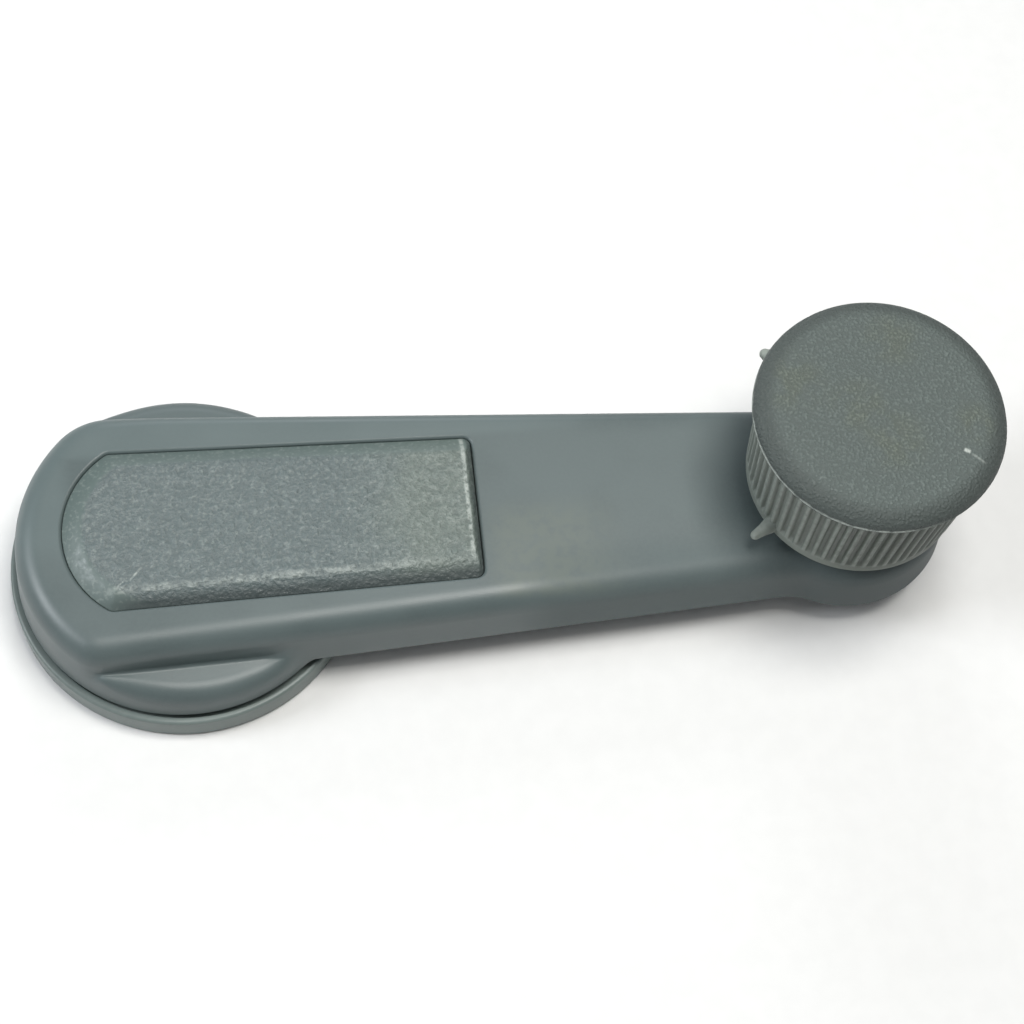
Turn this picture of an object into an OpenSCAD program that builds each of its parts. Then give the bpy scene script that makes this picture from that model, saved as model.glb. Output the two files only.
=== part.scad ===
// Window crank handle: a moulded arm on a splined boss, with a spinning knob,
// a lift-out cover over the retaining screw, and a loose escutcheon behind the hub.
// Origin: spindle axis, at the face of the door trim. +X runs to the knob, +Z away from the door.

/* [Arm] */
// Distance from the spindle axis to the knob axis
crank_throw = 88; // [76:1:120]
// Height of the arm's top face above the door trim
arm_top_z = 14.4; // [14.2:0.1:18]
// Height of the arm's lower rim above the door trim
arm_rim_z = 6; // [5.8:0.1:6.2]
// Half width of the arm at its rim, at the spindle axis
arm_half_hub = 17.3; // [16:0.1:18.5]
// Half width of the arm at its rim, at the knob axis
arm_half_tip = 11.95; // [10.5:0.05:13]
// Radius of the round head under the knob, at its rim
tip_r = 14.5; // [13.6:0.1:16]
// Inner radius of the fillets from the arm into the round head
neck_fillet_r = 8; // [4:0.5:12]
// Inner radius of the fillets from the hub into the arm
hub_fillet_r = 5; // [3:0.5:8]
// Bevel along the arm's top edges
top_bevel = 1.8; // [0.6:0.1:1.8]
// Draft of the moulded outer walls, in degrees
draft = 8; // [4:0.5:9]
// Thickness of the side walls at the cavity's roof
wall = 2.4; // [2:0.1:3]
// Thickness of the top skin beyond the cover
top_skin = 2.6; // [2:0.1:3.2]
// Thickness of the ribs across the cavity
rib_t = 1.5; // [1:0.1:2.5]
// Distance of the first rib past the cover's groove
rib_past = 7.2; // [3:0.1:10]

/* [Hub] */
// Radius of the hub skirt at its lower rim
hub_r = 22.3; // [21:0.1:27]
// Height of the hub skirt's lower rim above the door trim
hub_rim_z = 5; // [4.6:0.1:5.4]
// Height of the ledges beside the arm, on both sides of the hub
ledge_z = 9.3; // [8.8:0.1:10]
// Bevel along the edge of the ledges
ledge_bevel = 1.6; // [0.5:0.1:1.6]
// Width of the hub skirt's lower rim
hub_rim_w = 2.7; // [2:0.1:3.5]

/* [Core plate] */
// Thickness of the steel core plate
core_t = 1.6; // [1.2:0.1:1.9]
// Depth of the plate below the arm's lower rim
core_recess = 0.4; // [0.2:0.1:0.6]
// Width of the step in the moulding that the plate rests against
core_step = 1.2; // [0.8:0.1:1.6]
// Gap round the plate's edge
core_gap = 0.3; // [0.1:0.05:0.5]
// Shank radius of the core screws
core_screw_r = 1.4; // [1:0.1:1.6]
// Head radius of the core screws
core_screw_head_r = 2.7; // [2.2:0.1:3]
// Length of the core screws
core_screw_l = 4.6; // [3.6:0.1:5]
// Wall of the posts round the core screws
post_wall = 1.6; // [1.2:0.1:2]
// Distance of the first core screw behind the spindle axis
screw_back = 15.4; // [14.8:0.1:16.5]
// Distance of the second core screw in front of the spindle axis
screw_front = 30; // [24:1:34]
// Distance of the third core screw short of the knob axis
screw_short = 24; // [20:1:28]
// Width of the core screws' cross recess
core_slot_w = 0.7; // [0.5:0.1:0.9]
// Depth of the core screws' cross recess
core_slot_d = 0.9; // [0.5:0.1:1.1]

/* [Spindle boss] */
// Outer radius of the splined boss
boss_r = 8; // [7.4:0.1:8.6]
// Radius of the plain lead-in of its bore
lead_in_r = 5.1; // [4.4:0.05:5.4]
// Depth of the plain lead-in
lead_in_h = 2; // [1.6:0.1:2.4]
// Radius at the root of the internal serrations
spline_r = 5; // [4.3:0.05:5.3]
// Depth of the serrations
spline_depth = 0.5; // [0.3:0.05:0.7]
// Number of serrations
spline_teeth = 24; // [16:1:36]
// Thickness of the seat that the washers clamp on
seat_t = 1.4; // [1:0.1:2]
// Radius of the neck that is riveted through the plate
neck_r = 6.8; // [6.2:0.1:7.2]
// Width of the riveted lip outside the neck
rivet_lip = 0.8; // [0.4:0.1:0.9]
// Thickness of the riveted lip
rivet_t = 0.4; // [0.3:0.1:0.6]
// Gap between the riveted lip and the moulded tube round it
tube_gap = 0.4; // [0.2:0.1:0.8]

/* [Retaining screw] */
// Thread radius of the retaining screw
screw_r = 3; // [2.5:0.1:3.2]
// Length under its head
screw_l = 7.5; // [6.5:0.1:7.6]
// Radius of its head
screw_head_r = 5.3; // [4.6:0.1:5.8]
// Height of its head
screw_head_h = 2.4; // [2:0.1:2.5]
// Width of its cross recess
slot_w = 1.2; // [0.8:0.1:1.6]
// Depth of its cross recess
slot_d = 1.4; // [0.8:0.1:1.8]
// Outer radius of the plain washer
washer_r = 6; // [5.4:0.1:6.4]
// Thickness of the plain washer
washer_t = 0.8; // [0.6:0.1:1]
// Outer radius of the lock washer
lock_r = 5.4; // [4.8:0.1:5.8]
// Thickness of the lock washer
lock_t = 1.2; // [0.9:0.1:1.3]
// Slant of the lock washer's split, in degrees
lock_slant = 30; // [20:1:40]
// Clear space round the washers in the screw well
well_gap = 1; // [0.6:0.1:1.4]

/* [Cover cap] */
// Radius of the cover's round end, about the spindle axis
cover_r = 15; // [14:0.1:15.6]
// Half width of the cover at the spindle axis
cover_half_hub = 11.15; // [10:0.05:12]
// Half width of the cover at its square end
cover_half_end = 10.25; // [8.5:0.05:10.8]
// Distance of the square end from the spindle axis
cover_end = 38; // [34:1:46]
// Corner cut at the square end
cover_corner = 1; // [0.5:0.1:2]
// Groove round the cover
groove = 0.45; // [0.3:0.05:0.8]
// Groove at the square end
end_groove = 0.8; // [0.4:0.05:1.2]
// Height that the cover stands proud of the arm
cover_proud = 0.9; // [0.7:0.05:1.2]
// Height of the bevel round the cover's top
cover_bevel = 1; // [0.5:0.05:1.2]
// Width of that bevel
cover_roll = 1.6; // [0.8:0.1:2]
// Thickness of the cover's top skin
cover_skin = 2.1; // [1.8:0.1:2.2]
// Thickness of the cover's skirt
cover_wall = 1.4; // [1:0.1:2]
// Depth of the pocket below the arm's top face
pocket_depth = 2.6; // [2.4:0.1:2.8]
// Thickness of the pocket's floor
floor_t = 1.8; // [1.4:0.1:2]
// Length of the cover's pegs, measured along the arm
peg_l = 2.4; // [1.6:0.1:3]
// Thickness of the cover's pegs
peg_t = 1.2; // [0.8:0.1:1.6]
// Distance that the pegs reach below the pocket's floor
peg_reach = 0.7; // [0.4:0.1:1.2]
// Distance of the back pegs behind the spindle axis
peg_back = 6.5; // [5:0.5:8]
// Distance of the front pegs short of the cover's square end
peg_short = 4; // [3:0.5:6]
// Distance of the pegs from the cover's long edges
peg_inset = 2.2; // [1.6:0.1:2.4]

/* [Escutcheon] */
// Distance that the escutcheon stands out past the hub skirt
escutcheon_lip = 0.75; // [0.4:0.05:2]
// Height of the escutcheon
escutcheon_h = 4; // [3.6:0.1:4.2]
// Thickness of the escutcheon's web
escutcheon_web = 1.6; // [1.2:0.1:1.8]
// Thickness of the escutcheon's outer rim
escutcheon_rim = 2; // [1.4:0.1:3]
// Bevel of the escutcheon's outer edge
escutcheon_bevel = 1; // [0.4:0.1:1.2]
// Length of the escutcheon's bearing on the boss
bearing_l = 2; // [1.9:0.1:2.2]
// Width of the bearing collar
collar_w = 3; // [2:0.1:4]
// Thickness of the washer behind the escutcheon
back_washer_t = 0.6; // [0.4:0.1:0.6]
// Thickness of the circlip
clip_t = 0.8; // [0.6:0.1:0.8]
// Depth of the circlip's groove in the boss
clip_groove = 0.6; // [0.4:0.1:0.8]
// Radial width of the circlip
clip_w = 2.3; // [1.6:0.1:2.6]
// Gap between the boss and the felt ring
felt_clear = 2; // [1.2:0.1:4]
// Width of the felt ring
felt_w = 6; // [4:0.5:8]
// Gap between the bearing collar and the foam pad
pad_clear = 1; // [0.6:0.1:4]
// Distance of the foam pad's face behind the rim's face
pad_back = 0.3; // [0.1:0.1:0.6]

/* [Knob] */
// Radius of the drum's smooth band
drum_foot_r = 14.2; // [13:0.1:15.5]
// Radius of the fluted drum at its top
drum_top_r = 15.2; // [14.4:0.1:16.5]
// Height of the drum
drum_h = 15.6; // [14.6:0.1:20]
// Height of the smooth band at the drum's foot
band_h = 1.4; // [0.8:0.1:2.5]
// Number of flutes round the drum
flutes = 66; // [36:1:72]
// Depth of the flutes
flute_depth = 0.5; // [0.3:0.05:0.7]
// Width of the flutes
flute_w = 0.75; // [0.4:0.05:0.8]
// Step from the smooth band out to the fluted part
flute_step = 0.1; // [0.05:0.05:0.3]
// Thickness of the drum's wall at its band
drum_wall = 2; // [1.8:0.1:2.8]
// Thickness of the web between the drum and its hub
drum_web = 2.4; // [1.6:0.1:3]
// Wall of the drum's hub round the bush
drum_hub_wall = 3; // [2:0.1:3.2]
// Distance that the moulding stubs reach out from the knob axis
stub_reach = 17.4; // [17:0.1:18]
// Radius of the moulding stubs
stub_r = 0.8; // [0.5:0.1:1]
// Angle of the low stub round the knob, in degrees
low_stub_angle = 210; // [0:1:359]
// Angle of the high stub round the knob, in degrees
high_stub_angle = 139; // [0:1:359]
// Height of the low stub above the drum's foot
low_stub_z = 1.1; // [1:0.1:2]
// Distance of the high stub below the drum's top
high_stub_z = 1.4; // [1.1:0.1:3]
// Radius of the cap at its rim
cap_r = 16.1; // [15.8:0.1:18]
// Height of the cap above the drum
cap_h = 2.95; // [2.4:0.05:4]
// Height of the cap's widest line above the drum
cap_rim_h = 0.85; // [0.5:0.05:1.2]
// Width of the cap's rounded border
cap_border = 3.8; // [2:0.1:5]
// Thickness of the cap's top
cap_skin = 1.8; // [1.2:0.1:2]
// Length of the cap's spigot in the drum
spigot_l = 3; // [2:0.1:3.2]
// Thickness of the cap's spigot
spigot_t = 1.3; // [1:0.1:1.8]

/* [Knob bearing] */
// Radius of the pin's journal
journal_r = 3.5; // [3:0.1:4]
// Radius of the pin's shoulder in the arm
shoulder_r = 5; // [4.6:0.1:5.6]
// Radius of the pin's tenon in the plate
tenon_r = 3; // [2.6:0.1:3.4]
// Radius of the tenon's countersunk head
tenon_head_r = 4.2; // [3.8:0.1:4.6]
// Radius of the raised pad on the arm under the knob
pad_r = 9; // [8.2:0.1:10]
// Height of the raised pad
pad_h = 1; // [0.6:0.1:1.6]
// Outer radius of the thrust washer
thrust_r = 8; // [7.2:0.1:8.2]
// Thickness of the thrust washer
thrust_t = 1; // [0.6:0.1:1.4]
// Outer radius of the disc spring
spring_r = 7; // [6:0.1:7.2]
// Height of the disc spring
spring_h = 0.6; // [0.5:0.05:0.9]
// Thickness of the disc spring
spring_t = 0.3; // [0.2:0.05:0.4]
// Free play of the knob along its pin, at each end
end_play = 0.1; // [0.05:0.01:0.2]
// Wall of the bush
bush_wall = 1.65; // [1.2:0.05:2]
// Thickness of the bush's flange
bush_flange_t = 0.9; // [0.6:0.1:1.2]
// Width of the bush's flange
bush_flange_w = 1.9; // [1:0.1:2]
// Length of the bush
bush_l = 10.9; // [9:0.1:11]
// Outer radius of the top washer
top_washer_r = 7; // [6:0.1:7.5]
// Thickness of the top washer
top_washer_t = 0.6; // [0.4:0.1:0.8]
// Thickness of the E-clip
e_clip_t = 0.8; // [0.6:0.1:0.9]
// Outer radius of the E-clip
e_clip_r = 5.8; // [5:0.1:6.4]
// Depth of the E-clip's groove in the pin
e_clip_groove = 0.6; // [0.4:0.1:0.8]
// Width of the E-clip's mouth
e_clip_mouth = 5; // [4:0.1:5.4]
// Length of the pin past the E-clip
pin_end = 1; // [0.6:0.1:1.4]

/* [Fits] */
// Radial clearance of the running fits
run_gap = 0.05; // [0.02:0.01:0.09]
// Clearance of pieces that are seated in one another
seat_gap = 0.05; // [0.03:0.01:0.1]
// Clearance round loose washers
loose_gap = 0.15; // [0.1:0.05:0.3]
// Clearance of the cover's pegs in their slots
peg_gap = 0.1; // [0.05:0.01:0.2]

/* [Hidden] */
$fn = 96;
eps = 0.5;
over = 0.6;
web_sink = 0.03;
bevel_step = 0.05;
skirt_step = 0.05;

taper = atan((arm_half_hub - arm_half_tip) / crank_throw);
slope = tan(draft);
height = arm_top_z - arm_rim_z;
core_z = arm_rim_z + core_recess;
core_top = core_z + core_t;
seat_z = core_top + rivet_t;
washer_z = seat_z + washer_t;
head_z = washer_z + lock_t;
cover_top = arm_top_z + cover_proud;
pocket_z = arm_top_z - pocket_depth;
low_roof = pocket_z - floor_t;
high_roof = arm_top_z - top_skin;
cavity_inset = wall + slope * (high_roof - arm_rim_z);
recess_inset = cavity_inset - core_step;
well_r = washer_r + well_gap;
tube_in = neck_r + rivet_lip + tube_gap;
tube_out = tube_in + wall / 2;
post_r = core_screw_r + post_wall;
screw_x = [-screw_back, screw_front, crank_throw - screw_short];
first_rib = cover_end + end_groove + rib_past;
rib_x = [first_rib, (first_rib + crank_throw - screw_short) / 2, crank_throw - tip_r];
peg_x = [-peg_back, cover_end - peg_short];

escutcheon_r = hub_r + escutcheon_lip;
web_z = escutcheon_h - escutcheon_web;
bearing_z = escutcheon_h - bearing_l;
collar_r = boss_r + collar_w;
back_washer_top = bearing_z - run_gap;
clip_top = back_washer_top - back_washer_t - run_gap;
clip_z = clip_top - clip_t;
groove_r = boss_r - clip_groove;

pad_top = arm_top_z + pad_h;
spring_z = pad_top + thrust_t;
knob_z = spring_z + spring_h + end_play;
drum_top = knob_z + drum_h;
bush_r = journal_r + run_gap + bush_wall;
bush_top = knob_z + bush_l;
drum_hub_r = bush_r + seat_gap + drum_hub_wall;
drum_in = drum_foot_r - drum_wall;
flute_z = knob_z + band_h;
flute_l = drum_top - flute_z;
flute_foot_r = drum_foot_r + flute_step;
lean = atan((drum_top_r - flute_foot_r) / flute_l);
top_washer_z = bush_top + end_play;
e_clip_z = top_washer_z + top_washer_t + run_gap;
pin_top = e_clip_z + e_clip_t + pin_end;

// Half width of the arm's rim at a distance x from the spindle axis
function arm_half(x) = arm_half_hub - (arm_half_hub - arm_half_tip) * x / crank_throw;

// Half width of the cover at a distance x from the spindle axis
function cover_half(x) = cover_half_hub - (cover_half_hub - cover_half_end) * x / cover_end;

// Centre of the fillet between the arm's side and a circle of radius r about [x, 0]
function fillet_centre(x, r, f, way) =
    let (d = [cos(taper), -sin(taper)], n = [sin(taper), cos(taper)])
    let (v = [0, arm_half(x)] + f * n)
    let (s = -v * d + way * sqrt(pow(v * d, 2) - v * v + pow(r + f, 2)))
    [x, 0] + v + s * d;

// Flat ring
module ring(inner, outer, z, t) {
    translate([0, 0, z])
        difference() {
            cylinder(r = outer, h = t);
            translate([0, 0, -eps]) cylinder(r = inner, h = t + 2 * eps);
        }
}

// Slab with the arm's plan, its edges moved in by an inset, from a height z
module arm_slab(inset, z, t) {
    back = hub_r + eps;
    translate([0, 0, z]) {
        linear_extrude(t)
            intersection() {
                polygon([[-back, arm_half(-back) - inset], [crank_throw, arm_half_tip - inset],
                    [crank_throw, inset - arm_half_tip], [-back, inset - arm_half(-back)]]);
                union() {
                    circle(r = hub_r - inset);
                    translate([0, -hub_r]) square([crank_throw, 2 * hub_r]);
                }
            }
        translate([crank_throw, 0, 0]) cylinder(r = tip_r - inset, h = t);
    }
}

// Slab with one long side drafted and bevelled like the arm's side, run on past its top and bottom
module side_slab() {
    reach = 3 * hub_r;
    lean_in = slope * (height - top_bevel);
    rotate([0, 0, -taper])
        translate([-reach, arm_half_hub * cos(taper), 0])
            rotate([90, 0, 90])
                linear_extrude(reach + crank_throw + tip_r)
                    polygon([[-reach, arm_rim_z - over], [slope * over, arm_rim_z - over],
                        [-lean_in, arm_top_z - top_bevel],
                        [-lean_in - top_bevel - over, arm_top_z + over], [-reach, arm_top_z + over]]);
}

// Round drafted body of radius r at z0 with a bevelled top edge, run on past its top and bottom
module drafted_disc(r, z0, z1, bevel) {
    lean_in = slope * (z1 - bevel - z0);
    run = 2 * over;
    rotate_extrude()
        polygon([[0, z0 - run], [r + slope * run, z0 - run], [r - lean_in, z1 - bevel],
            [r - lean_in - bevel - run, z1 + run], [0, z1 + run]]);
}

// Web that fills the corner between the arm's side and a round end of radius r at the arm's rim
module fillet_web(x, r, f, way, z0, z1, bevel) {
    c = fillet_centre(x, r, f, way);
    foot = c - f * [sin(taper), cos(taper)];
    far = [x, 0] + (c - [x, 0]) * r / (r + f);
    run = 3 * over;
    low = f + web_sink + slope * (z0 - run - eps - arm_rim_z);
    high = f + web_sink + slope * (z1 - bevel - arm_rim_z);
    difference() {
        translate([0, 0, z0 - run])
            linear_extrude(z1 - z0 + 2 * run) polygon([foot, far, [x, 0], [foot.x, 0]]);
        translate([c.x, c.y, 0])
            rotate_extrude()
                polygon([[0, z0 - run - eps], [low, z0 - run - eps], [high, z1 - bevel],
                    [high + bevel + run + eps, z1 + run + eps], [0, z1 + run + eps]]);
    }
}

// Everything between two heights, over the whole arm
module layer(z0, z1) {
    translate([-2 * hub_r, -2 * hub_r, z0]) cube([crank_throw + 4 * hub_r, 4 * hub_r, z1 - z0]);
}

// Outside of the arm moulding; the bodies of hub skirt and arm are cut level together
module arm_outside() {
    hub_low = hub_r - slope * (arm_rim_z - hub_rim_z);
    intersection() {
        layer(hub_rim_z, ledge_z);
        union() {
            drafted_disc(hub_r, hub_rim_z, ledge_z, ledge_bevel);
            for (side = [0, 1])
                mirror([0, side, 0])
                    fillet_web(0, hub_low, hub_fillet_r, 1, hub_rim_z, ledge_z, ledge_bevel + bevel_step);
        }
    }
    intersection() {
        layer(arm_rim_z, arm_top_z);
        union() {
            intersection() {
                side_slab();
                mirror([0, 1, 0]) side_slab();
                union() {
                    drafted_disc(hub_low - skirt_step, arm_rim_z, arm_top_z, top_bevel - bevel_step);
                    translate([0, -hub_r, arm_rim_z - 3 * over])
                        cube([crank_throw, 2 * hub_r, height + 6 * over]);
                }
            }
            translate([crank_throw, 0, 0])
                drafted_disc(tip_r, arm_rim_z, arm_top_z, top_bevel - bevel_step);
            for (side = [0, 1])
                mirror([0, side, 0])
                    fillet_web(crank_throw, tip_r, neck_fillet_r, -1, arm_rim_z, arm_top_z,
                        top_bevel + bevel_step);
        }
    }
    translate([crank_throw, 0, high_roof + eps]) cylinder(r = pad_r, h = pad_top - high_roof - eps);
}

// Hollow above the core plate, less the ribs, posts and tubes left standing in it
module arm_cavity() {
    difference() {
        union() {
            arm_slab(cavity_inset, core_top - eps, low_roof - core_top + eps);
            intersection() {
                arm_slab(cavity_inset, core_top, high_roof - core_top);
                translate([cover_end + end_groove + wall, -hub_r, 0])
                    cube([crank_throw + tip_r, 2 * hub_r, high_roof + eps]);
            }
        }
        translate([0, 0, core_top - 2 * eps]) cylinder(r = tube_out, h = height);
        translate([crank_throw, 0, core_top - 2 * eps]) cylinder(r = shoulder_r + wall, h = height);
        for (x = screw_x)
            translate([x, 0, core_top - 2 * eps]) cylinder(r = post_r, h = height);
        for (x = rib_x)
            translate([x - rib_t / 2, -hub_r, core_top - 2 * eps]) cube([rib_t, 2 * hub_r, height]);
    }
}

// Plan of the cover, with its edges moved out by a gap, and by another at its square end
module cover_plan(gap, end_gap) {
    tip = cover_end + end_gap;
    half = cover_half(cover_end) + gap;
    back = cover_r + 2 * groove;
    back_half = cover_half(-back) + gap;
    intersection() {
        polygon([[-back, back_half], [tip - cover_corner, half], [tip, half - cover_corner],
            [tip, cover_corner - half], [tip - cover_corner, -half], [-back, -back_half]]);
        union() {
            circle(r = cover_r + gap);
            translate([0, -cover_r]) square([tip + eps, 2 * cover_r]);
        }
    }
}

// Places of the cover's four pegs
module at_pegs() {
    for (x = peg_x, side = [-1, 1])
        translate([x, side * (cover_half(x) - peg_inset), 0]) children();
}

// Moulded plastic arm with its hub skirt, cover pocket, screw well and open underside
module arm_shell() {
    color("#768180")
        difference() {
            arm_outside();
            translate([0, 0, hub_rim_z - eps]) cylinder(r = hub_r - hub_rim_w, h = core_z - hub_rim_z + eps);
            arm_slab(recess_inset, hub_rim_z - eps, core_top - hub_rim_z + eps);
            arm_cavity();
            translate([0, 0, pocket_z]) linear_extrude(pocket_depth + eps) cover_plan(groove, end_groove);
            translate([0, 0, core_top - eps]) cylinder(r = well_r, h = height);
            translate([0, 0, core_top - eps]) cylinder(r = tube_in, h = low_roof - core_top + eps);
            at_pegs()
                translate([-peg_l / 2 - peg_gap, -peg_t / 2 - peg_gap, low_roof - eps])
                    cube([peg_l + 2 * peg_gap, peg_t + 2 * peg_gap, floor_t + 2 * eps]);
            for (x = screw_x)
                translate([x, 0, core_top - eps])
                    cylinder(r = core_screw_r + seat_gap, h = core_screw_l - core_t + 2 * seat_gap + eps);
            translate([crank_throw, 0, core_top - eps])
                cylinder(r = shoulder_r + seat_gap, h = height + pad_h);
        }
}

// Pressed steel plate, screwed into the arm's underside
module arm_core() {
    color("#8c9094")
        difference() {
            arm_slab(recess_inset + core_gap, core_z, core_t);
            translate([0, 0, core_z - eps]) cylinder(r = neck_r + seat_gap, h = core_t + 2 * eps);
            translate([crank_throw, 0, core_z - eps])
                cylinder(r = tenon_r + seat_gap, h = core_t + 2 * eps);
            translate([crank_throw, 0, core_z]) countersink(tenon_head_r + seat_gap, tenon_r + seat_gap);
            for (x = screw_x)
                translate([x, 0, core_z]) {
                    translate([0, 0, -eps]) cylinder(r = core_screw_r + seat_gap, h = core_t + 2 * eps);
                    countersink(core_screw_head_r + seat_gap, core_screw_r + seat_gap);
                }
        }
}

// Cone that opens downwards from a hole of radius r to a mouth
module countersink(mouth, r) {
    h = mouth - r;
    translate([0, 0, -eps]) cylinder(r1 = mouth + eps, r2 = r, h = h + eps);
}

// Countersunk self-tapping screws that hold the plate in the arm
module core_screws() {
    head_h = core_screw_head_r - core_screw_r;
    color("#a3a6a8")
        for (x = screw_x)
            translate([x, 0, core_z])
                difference() {
                    union() {
                        cylinder(r = core_screw_r, h = core_screw_l);
                        cylinder(r1 = core_screw_head_r, r2 = core_screw_r, h = head_h);
                    }
                    cross_slot(core_screw_head_r + core_slot_w, core_slot_w, core_slot_d + eps, -eps);
                }
}

// Cross recess for a screwdriver, cut over a height h from z upwards
module cross_slot(length, width, h, z) {
    for (turn = [0, 90])
        rotate([0, 0, turn])
            translate([-length / 2, -width / 2, z]) cube([length, width, h]);
}

// Steel boss with a plain lead-in and internal serrations, riveted to the plate
module spline_boss() {
    points = [for (i = [0 : 2 * spline_teeth - 1])
        let (r = spline_r - spline_depth * (i % 2), a = i * 180 / spline_teeth)
        [r * cos(a), r * sin(a)]];
    color("#9a9da0")
        difference() {
            union() {
                cylinder(r = boss_r, h = core_z);
                cylinder(r = neck_r, h = seat_z);
                translate([0, 0, core_top]) cylinder(r = neck_r + rivet_lip, h = rivet_t);
            }
            translate([0, 0, -eps]) cylinder(r = lead_in_r, h = lead_in_h + eps);
            translate([0, 0, lead_in_h - eps])
                linear_extrude(seat_z - seat_t - lead_in_h + eps) polygon(points);
            cylinder(r = screw_r + loose_gap, h = seat_z + eps);
            ring(groove_r, boss_r + eps, clip_z - run_gap, clip_t + 2 * run_gap);
        }
}

// Screw through the boss into the end of the spindle
module retaining_screw() {
    color("#b0b2b3")
        difference() {
            union() {
                translate([0, 0, head_z - screw_l]) cylinder(r = screw_r, h = screw_l);
                translate([0, 0, head_z]) cylinder(r = screw_head_r, h = screw_head_h);
            }
            cross_slot(screw_head_r + slot_w, slot_w, slot_d + eps, head_z + screw_head_h - slot_d);
        }
}

// Split spring washer under the retaining screw's head
module lock_washer() {
    color("#85888a")
        difference() {
            ring(screw_r + loose_gap, lock_r, washer_z, lock_t);
            translate([lock_r, 0, washer_z + lock_t / 2])
                rotate([lock_slant, 0, 0]) cube([2 * lock_r, lock_t / 2, 3 * lock_t], center = true);
        }
}

// Plain washer on the boss's seat
module plain_washer() {
    color("#a3a6a8") ring(screw_r + loose_gap, washer_r, seat_z, washer_t);
}

// Outline of the cover's edge seen end on, from reach inside the edge, its bevel run on past both ends
function cover_edge(reach, bevel) =
    let (k = bevel / cover_roll)
    [[-reach, pocket_z - over], [over, pocket_z - over], [over, cover_top - bevel - k * over],
        [-cover_roll - over / k, cover_top + over], [-reach, cover_top + over]];

// Long slab with one side bevelled like the cover's long edge
module cover_side() {
    reach = 3 * cover_end;
    lean = atan((cover_half_hub - cover_half_end) / cover_end);
    rotate([0, 0, -lean])
        translate([-reach, cover_half_hub * cos(lean), 0])
            rotate([90, 0, 90]) linear_extrude(2 * reach) polygon(cover_edge(reach, cover_bevel));
}

// Solid cover with its pillowed top
module cover_blank() {
    intersection() {
        translate([0, 0, pocket_z]) linear_extrude(cover_top - pocket_z) cover_plan(0, 0);
        cover_side();
        mirror([0, 1, 0]) cover_side();
        translate([cover_end, cover_end, 0])
            rotate([90, 0, 0]) linear_extrude(2 * cover_end) polygon(cover_edge(3 * cover_end, cover_bevel));
        union() {
            rotate_extrude() translate([cover_r, 0]) polygon(cover_edge(cover_r, cover_bevel + bevel_step));
            translate([0, -cover_end, 0]) cube([2 * cover_end, 2 * cover_end, 2 * cover_end]);
        }
    }
}

// Moulded cover that pulls out of the arm's pocket
module cover_cap() {
    color("#798385") {
        difference() {
            cover_blank();
            translate([0, 0, pocket_z - eps])
                linear_extrude(cover_top - cover_skin - pocket_z + eps) cover_plan(-cover_wall, -cover_wall);
        }
        at_pegs()
            translate([-peg_l / 2, -peg_t / 2, low_roof - peg_reach])
                cube([peg_l, peg_t, cover_top - cover_skin / 2 - low_roof + peg_reach]);
    }
}

// Round plate that stays still against the door while the crank turns
module escutcheon() {
    rim_in = escutcheon_r - escutcheon_rim;
    color("#78837f")
        rotate_extrude()
            polygon([[boss_r + run_gap, bearing_z], [collar_r, bearing_z], [collar_r, web_z],
                [rim_in, web_z], [rim_in, 0], [escutcheon_r, 0],
                [escutcheon_r, escutcheon_h - escutcheon_bevel],
                [escutcheon_r - escutcheon_bevel, escutcheon_h], [boss_r + run_gap, escutcheon_h]]);
}

// Foam ring in the escutcheon's back
module trim_pad() {
    color("#2c2e30")
        ring(collar_r + pad_clear, escutcheon_r - escutcheon_rim - core_gap, pad_back, web_z - pad_back);
}

// Felt ring on the escutcheon's face, inside the hub
module felt_ring() {
    inner = boss_r + felt_clear;
    color("#4a4a46") ring(inner, inner + felt_w, escutcheon_h, core_z - core_gap - escutcheon_h);
}

// Thin washer between the escutcheon and its circlip
module escutcheon_washer() {
    color("#a3a6a8")
        ring(boss_r + loose_gap, collar_r, back_washer_top - back_washer_t, back_washer_t);
}

// External circlip in the boss's groove
module escutcheon_clip() {
    color("#6d7072")
        difference() {
            ring(groove_r + seat_gap, groove_r + clip_w, clip_z, clip_t);
            translate([groove_r, 0, clip_z + clip_t / 2])
                cube([3 * clip_w, clip_w, clip_t + 2 * eps], center = true);
        }
}

// Shouldered pin, riveted to the plate, that the knob turns on
module knob_pin() {
    color("#b0b2b3")
        translate([crank_throw, 0, 0])
            difference() {
                union() {
                    translate([0, 0, core_z]) cylinder(r = tenon_r, h = core_t);
                    translate([0, 0, core_z])
                        cylinder(r1 = tenon_head_r, r2 = tenon_r, h = tenon_head_r - tenon_r);
                    translate([0, 0, core_top]) cylinder(r = shoulder_r, h = pad_top - core_top);
                    translate([0, 0, pad_top]) cylinder(r = journal_r, h = pin_top - pin_end / 2 - pad_top);
                    translate([0, 0, pin_top - pin_end / 2])
                        cylinder(r1 = journal_r, r2 = journal_r - pin_end / 2, h = pin_end / 2);
                }
                ring(journal_r - e_clip_groove, journal_r + eps, e_clip_z - run_gap, e_clip_t + 2 * run_gap);
            }
}

// Nylon washer between the arm and the knob
module thrust_washer() {
    color("#d9d6cc")
        translate([crank_throw, 0, 0]) ring(journal_r + loose_gap, thrust_r, pad_top, thrust_t);
}

// Coned spring washer that presses the knob up against its clip
module disc_spring() {
    inner = journal_r + loose_gap;
    color("#6d7072")
        translate([crank_throw, 0, spring_z])
            rotate_extrude()
                polygon([[inner, spring_h - spring_t], [spring_r, 0], [spring_r, spring_t],
                    [inner, spring_h]]);
}

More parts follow.
